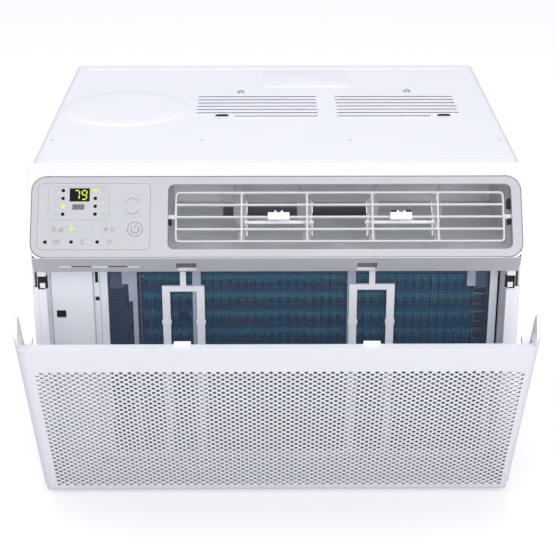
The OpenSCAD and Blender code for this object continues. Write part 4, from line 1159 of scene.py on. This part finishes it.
    def reading(self):
        """The number on the display, in seven-segment figures."""
        segments = {
            "a": ((0, 2), (1, 2)), "b": ((1, 2), (1, 1)), "c": ((1, 1), (1, 0)), "d": ((0, 0), (1, 0)),
            "e": ((0, 1), (0, 0)), "f": ((0, 2), (0, 1)), "g": ((0, 1), (1, 1)),
        }
        figures = ["abcdef", "bc", "abged", "abgcd", "fgbc", "afgcd", "afgedc", "abc", "abcdefg", "abcdfg"]
        bm = bmesh.new()
        width, half = 4.4 * MM, 4.3 * MM
        centre = (-187 * MM, 18.7 * MM)
        low, high = -0.2 * MM, 0.06 * MM
        short = 0.55 * MM
        slant = 0.06
        tens, units = divmod(settings().front.reading, 10)
        for figure, offset in ((tens, -2.6 * MM), (units, 4.4 * MM)):
            for name in figures[figure]:
                (x0, y0), (x1, y1) = segments[name]
                a = Vector(((x0 - 0.5) * width, (y0 - 1) * half))
                b = Vector(((x1 - 0.5) * width, (y1 - 1) * half))
                run = (b - a).normalized() * short
                points = [(p.x + centre[0] + offset + slant * p.y, centre[1] - p.y)
                          for p in (a + run, b - run)]
                stroke(bm, points, 1.05 * MM, on_face, low, high)
        place_piece("display_figures", bm, glowing(), "display_windows")

    def lamps(self):
        """Domed lamp lenses, dark and lit."""
        places = [(x, (self.LAMP_FIRST + self.LAMP_STEP * row) / MM, row in lit_rows)
                  for x, lit_rows in self.LAMP_COLUMNS for row in range(self.LAMP_ROWS)]
        outline = round_outline(3.5 * MM, 3.5 * MM, 1.749 * MM, 5)
        for name, wanted, material in (("lamps_dark", False, black_window()), ("lamps_lit", True, glowing())):
            bm = bmesh.new()
            for x, down, lit in (*places, *self.KEY_LAMPS):

                def place(px, py, height, x=x, down=down):
                    return on_face(x * MM + px, down * MM - py, height)

                if lit == wanted:
                    pad(bm, outline, place, -0.4 * MM, 0.3 * MM, crown=0.25 * MM)
            place_piece(name, bm, material, "indicator_lights")


# ---------- louvre ----------


class WINDOWUNIT_OT_louvre(bpy.types.Operator):
    """Builds the louvre frame, its vanes, link bars and slider tabs"""

    bl_idname = "window_unit.louvre"
    bl_label = "Louvre"

    def execute(self, context):
        finished("louver_frame", louver_plastic(), 0.3 * MM)
        for i in range(1, 5):
            finished(f"vane_{i}", vane_plastic(), 0.3 * MM, 1)
        for side in ("left", "right"):
            finished("vane_link_" + side, vane_plastic(), 0.3 * MM, 1)
            finished("vane_slider_" + side, white_plastic(), 0.35 * MM)
            self.grips("vane_slider_" + side)
        return {"FINISHED"}

    def grips(self, node):
        """Dark rubber grips on a slider's upper edge."""
        low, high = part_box(node)
        middle = (low.x + high.x) / 2
        bm = bmesh.new()
        for side in (-1, 1):
            x = middle + side * 7 * MM
            outline = round_outline(5.4 * MM, 2.2 * MM, 0.6 * MM, 3)
            pad(bm, moved(outline, x, 34.9 * MM), on_face, -3.5 * MM, -1.2 * MM)
        place_piece(node + "_grips", bm, rubber(), node, slot="rubber")


# ---------- intake panel ----------


class WINDOWUNIT_OT_panel(bpy.types.Operator):
    """Builds the perforated intake panel"""

    bl_idname = "window_unit.panel"
    bl_label = "Intake panel"

    FACE_THICKNESS = 2.6 * MM
    FIELD_THICKNESS = 1.25 * MM
    FIRST_HOLE = 13.8 * MM

    def execute(self, context):
        sizes = settings().panel
        joint = JOINTS["panel_tilt"]
        pivot = Matrix.Translation(joint["pos_m"])
        lean = math.radians(joint["range_deg"][1])
        closed = pivot @ Matrix.Rotation(-lean, 4, "X") @ pivot.inverted()
        mesh = welded("intake_panel")
        mesh.transform(closed)
        low = Vector([min(v.co[i] for v in mesh.vertices) for i in range(3)])
        x0 = 2.5 * MM - sizes.column_step * (sizes.columns - 1) / 2
        z0 = low.z + self.FIRST_HOLE
        left = x0 - sizes.column_step / 2
        right = x0 + (sizes.columns - 0.5) * sizes.column_step
        bottom = z0 - sizes.row_step / 2
        top = bottom + (sizes.rows + 0.5) * sizes.row_step
        shell = self.with_window(mesh, (left, low.y, bottom), (right, low.y + self.FACE_THICKNESS, top))
        rim = bmesh.new()
        corners = ((left, bottom), (right, bottom), (right, top), (left, top))
        loops = [[rim.verts.new((x, low.y + depth, z)) for x, z in corners]
                 for depth in (self.FIELD_THICKNESS, self.FACE_THICKNESS)]
        for i in range(4):
            j = (i + 1) % 4
            rim.faces.new((loops[0][i], loops[0][j], loops[1][j], loops[1][i]))
        edge = bpy.data.meshes.new("field_edge")
        rim.to_mesh(edge)
        rim.free()
        meshes = [shell, edge] + self.lattice(sizes, x0, z0, low.y)
        mesh = joined("intake_panel_finished", meshes)
        mesh.transform(closed.inverted())
        piece = level(link("intake_panel_finished", mesh, panel_plastic()))
        piece.data.materials.append(hole_wall_shade())
        # the walls of the holes get the darker grey: painted shade inside the perforations
        out = closed.inverted().to_3x3() @ Vector((0, 1, 0))
        window = (Vector((left, 0, bottom)), Vector((right, 0, top)))
        for face in piece.data.polygons:
            if abs(face.normal.dot(out)) < 0.2 and face.area < 4 * MM * MM:
                at = closed @ face.center
                if window[0].x < at.x < window[1].x and window[0].z < at.z < window[1].z:
                    face.material_index = 1
        fix(piece, "intake_panel", "intake_panel")
        return {"FINISHED"}

    def with_window(self, mesh, low, high):
        """The panel's shell with rounded edges and a rectangular window through its face."""
        blank = rounded(link("panel_blank", mesh), 0.6 * MM)
        graph = bpy.context.evaluated_depsgraph_get()
        shell = bpy.data.meshes.new_from_object(blank.evaluated_get(graph), depsgraph=graph)
        bpy.data.objects.remove(blank)
        bm = bmesh.new()
        bm.from_mesh(shell)
        for axis in (0, 2):
            for place in (low[axis], high[axis]):
                normal = Vector((axis == 0, 0, axis == 2))
                bmesh.ops.bisect_plane(bm, geom=[*bm.verts, *bm.edges, *bm.faces], dist=0.001 * MM,
                                       plane_co=normal * place, plane_no=normal)
        near = 0.05 * MM
        window = []
        for face in bm.faces:
            middle = face.calc_center_median()
            inside = low[0] < middle.x < high[0] and low[2] < middle.z < high[2]
            if inside and all(v.co.y < high[1] + near for v in face.verts):
                window.append(face)
        bmesh.ops.delete(bm, geom=window, context="FACES")
        bm.to_mesh(shell)
        bm.free()
        if "custom_normal" in shell.attributes:
            shell.attributes.remove(shell.attributes["custom_normal"])
        return shell

    def lattice(self, sizes, x0, z0, front):
        """The perforated field: a cell with one hole, repeated, and blank half cells that level its ends."""
        half_w, half_h = sizes.column_step / 2, sizes.row_step / 2
        sides = 10
        rim = [(half_w, 0), (half_w, half_h), (-half_w, half_h), (-half_w, 0), (-half_w, -half_h),
               (half_w, -half_h)]
        hole = circle(sizes.hole / 2, sides)
        bm = bmesh.new()
        layers = []
        for y in (0, self.FIELD_THICKNESS):
            outer = [bm.verts.new((x, y, z)) for x, z in rim]
            inner = [bm.verts.new((x, y, z)) for x, z in hole]
            layers.append(inner)
            order = sorted([(math.atan2(v.co.z, v.co.x) % (2 * math.pi), 0, v) for v in outer]
                           + [(math.atan2(v.co.z, v.co.x) % (2 * math.pi), 1, v) for v in inner],
                           key=lambda item: item[:2])
            last = {0: outer[-1], 1: inner[-1]}
            for _, kind, vert in order:
                bm.faces.new((last[0], last[1], vert))
                last[kind] = vert
        for i in range(sides):
            j = (i + 1) % sides
            bm.faces.new((layers[0][i], layers[0][j], layers[1][j], layers[1][i]))
        start = (x0, front, z0)
        plastic = panel_plastic()
        shared = {"column_step": (sizes.column_step, 0, 0), "columns": sizes.columns}
        field = repeated("perforations", bm, plastic, start=start, rows=sizes.rows,
                         row_step=(0, 0, sizes.row_step), odd_column_shift=(0, 0, half_h), **shared)
        blank = bmesh.new()
        for y in (0, self.FIELD_THICKNESS):
            blank.faces.new([blank.verts.new((x, y, z)) for x, z in
                             ((-half_w, 0), (half_w, 0), (half_w, half_h), (-half_w, half_h))])
        # odd columns are open at the bottom, and even ones at the top
        odd_top = sizes.rows * sizes.row_step
        odd_count = sizes.columns // 2
        ends = []
        for first, rise, count in ((1, -half_h, odd_count), (0, odd_top - half_h, sizes.columns - odd_count)):
            ends.append(repeated("lattice_ends", blank.copy(), plastic, columns=count,
                                 column_step=(2 * sizes.column_step, 0, 0),
                                 start=(x0 + first * sizes.column_step, front, z0 + rise)))
        blank.free()
        return [field, *ends]


# ---------- filter ----------


class WINDOWUNIT_OT_filter(bpy.types.Operator):
    """Builds the filter's frame and net, and the clear guides behind it"""

    bl_idname = "window_unit.filter"
    bl_label = "Filter"

    def execute(self, context):
        finished("filter_frame", white_plastic(), 0.5 * MM)
        finished("filter_guides", clear_plastic(), 0.4 * MM)
        self.clips()
        self.channel()
        sizes = settings().coil
        low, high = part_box("filter_mesh")
        net = filter_net()
        half = sizes.thread / 2
        middle = (low.y + high.y) / 2
        wide, tall = high.x - low.x, high.z - low.z
        upright, cross = bmesh.new(), bmesh.new()
        box_between(upright, (-half, -half, 0), (half, half, tall))
        box_between(cross, (0, -half, -half), (wide, half, half))
        step = sizes.net_step
        meshes = [
            repeated("upright_threads", upright, net, columns=int(wide / step), column_step=(step, 0, 0),
                     start=(low.x + step / 2, middle - half / 2, low.z)),
            repeated("level_threads", cross, net, columns=int(tall / step), column_step=(0, 0, step),
                     start=(low.x, middle + half / 2, low.z + step / 2)),
        ]
        fix(link("filter_net", joined("filter_net", meshes), net), "filter_mesh", "filter_mesh")
        return {"FINISHED"}

    def clips(self):
        """Milky strips and hooked clips that hold the net to its frame."""
        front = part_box("filter_mesh")[0].y
        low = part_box("filter_frame")[0].z + 6 * MM
        bm = bmesh.new()
        # in mm: left and right, then top and bottom from the cabinet's top; None reaches the frame's foot
        strips = ((-84, -75.5, -101, None), (71, 79.5, -101, None), (-154.4, -139.2, -101, -133.4),
                  (-148, -139.2, -133, -152), (-144, -139.2, -151, None), (190.5, 199, -101, -136),
                  (-174.8, -169.5, -101, -132))
        for left, right, high, bottom in strips:
            base = low if bottom is None else CABINET_TOP + bottom * MM
            box_between(bm, (left * MM, front - 1.1 * MM, base),
                        (right * MM, front - 0.35 * MM, CABINET_TOP + high * MM))
        piece = link("filter_clips", to_mesh("filter_clips", bm), clear_plastic())
        fix(rounded(piece, 0.25 * MM), "filter_frame", slot="clear_plastic")

    def channel(self):
        """The grooved strip between the cover and the filter."""
        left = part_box("side_cover")[1].x + 0.05 * MM
        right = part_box("filter_frame")[0].x - 0.2 * MM
        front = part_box("filter_frame")[0].y
        bm = bmesh.new()
        box_between(bm, (left, front + 1.5 * MM, 14 * MM), (right, front + 3.5 * MM, CABINET_TOP - 102 * MM))
        box_between(bm, (left, front + 0.2 * MM, CABINET_TOP - 157 * MM),
                    (right, front + 1.6 * MM, CABINET_TOP - 153 * MM))
        strip = link("filter_channel", to_mesh("filter_channel", bm), white_plastic())
        fix(rounded(strip, 0.3 * MM), "front_frame")
        # black pads in the strip's sockets: painted shade
        dark = bmesh.new()
        middle = (left + right) / 2
        for low, high, half in ((-130, -102.5, 1.5), (-149.5, -145.5, 2.0)):
            box_between(dark, (middle - half * MM, front + 1.2 * MM, CABINET_TOP + low * MM),
                        (middle + half * MM, front + 1.6 * MM, CABINET_TOP + high * MM))
        place_piece("channel_sockets", dark, black_plastic(), "front_frame", slot="black_plastic")


# ---------- coils ----------


def fine_fins(node, material):
    """Thin wavy fin plates, closer than the CAD model's, in place of them."""
    sizes = settings().coil
    low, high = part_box(node)
    bm = bmesh.new()
    half = sizes.fin_thickness / 2
    waves = 4
    depth = high.y - low.y
    ripple = 0.35 * MM
    wavy = [(half + ripple * (i % 2), depth * (i + 0.5) / waves) for i in range(waves)]
    outline = [(half, 0.0), *wavy, (half, depth)]
    back = [(x - 2 * half, y) for x, y in reversed(outline)]
    stacked(bm, [at_height(outline + back, z) for z in (0, high.z - low.z)])
    count = int((high.x - low.x) / sizes.fin_step)
    mesh = repeated(node, bm, material, columns=count, column_step=(sizes.fin_step, 0, 0),
                    start=(low.x + half, low.y, low.z))
    fix(link(node + "_fine", mesh, material), node, node)


class WINDOWUNIT_OT_coils(bpy.types.Operator):
    """Builds the fine fins of both coils, and finishes their tubes and plates"""

    bl_idname = "window_unit.coils"
    bl_label = "Coils"

    def execute(self, context):
        fine_fins("evaporator_fins", blue_fins())
        fine_fins("condenser_fins", bare_fins())
        self.collars()
        repaint("evaporator_tubes", "evaporator_end_plates", "coil_sensor", "condenser_tubes",
                "condenser_end_plates", "drip_tray")
        return {"FINISHED"}

    def collars(self):
        """The collars that the fins are drawn into round the front row of tubes, one against the next."""
        low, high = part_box("evaporator_fins")
        radius = 4.3 * MM
        row_step = 20 * MM
        end_gap = 0.5 * MM
        bm = bmesh.new()
        stacked(bm, [[Vector((x, y, z)) for y, z in circle(radius, 12)]
                     for x in (low.x + end_gap, high.x - end_gap)])
        mesh = repeated("fin_collars", bm, collar_aluminium(), rows=TUBE_ROWS, row_step=(0, 0, row_step),
                        start=(0, low.y + 10 * MM, low.z + 9 * MM))
        fix(link("fin_collars", mesh, collar_aluminium()), "evaporator_fins")


class WINDOWUNIT_OT_machinery(bpy.types.Operator):
    """Finishes the pan, the air path, the fans, the compressor and the electrics"""

    bl_idname = "window_unit.machinery"
    bl_label = "Machinery"

    def execute(self, context):
        repaint("base_pan", "bulkhead", "air_duct", "blower_housing", "fan_orifice", "fan_shroud",
                "blower_wheel", "fan_shaft", "axial_fan", "fan_motor", "motor_bracket", "compressor",
                "compressor_mounts", "terminal_cover", "accumulator", "refrigerant_pipes",
                "capillary_tube", "control_box", "run_capacitor", "cord_inlet", "panel_hinge_pins")
        return {"FINISHED"}


class WINDOWUNIT_PT_steps(bpy.types.Panel):
    """The settings and the steps that build the window unit"""

    bl_idname = "WINDOWUNIT_PT_steps"
    bl_label = "Window unit"
    bl_space_type = "VIEW_3D"
    bl_region_type = "UI"
    bl_category = "Window unit"

    def draw(self, context):
        unit = context.scene.window_unit
        for group in (unit.cabinet, unit.front, unit.panel, unit.coil):
            box = self.layout.box()
            for name in group.__annotations__:
                box.prop(group, name)
        for step in STEPS:
            self.layout.operator(step.bl_idname)


STEPS = (
    WINDOWUNIT_OT_stage, WINDOWUNIT_OT_cabinet, WINDOWUNIT_OT_front, WINDOWUNIT_OT_controls,
    WINDOWUNIT_OT_louvre, WINDOWUNIT_OT_panel, WINDOWUNIT_OT_filter, WINDOWUNIT_OT_coils,
    WINDOWUNIT_OT_machinery,
)
CLASSES = (CabinetSettings, FrontSettings, PanelSettings, CoilSettings, WindowUnitSettings, *STEPS,
           WINDOWUNIT_PT_steps)


def register():
    for item in CLASSES:
        bpy.utils.register_class(item)
    bpy.types.Scene.window_unit = PointerProperty(
        name="Window unit", description="Settings of the window unit", type=WindowUnitSettings,
    )


def unregister():
    del bpy.types.Scene.window_unit
    for item in reversed(CLASSES):
        bpy.utils.unregister_class(item)


def main():
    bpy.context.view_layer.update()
    register()
    for step in STEPS:
        getattr(bpy.ops.window_unit, step.bl_idname.split(".")[1])()


if __name__ == "__main__":
    main()
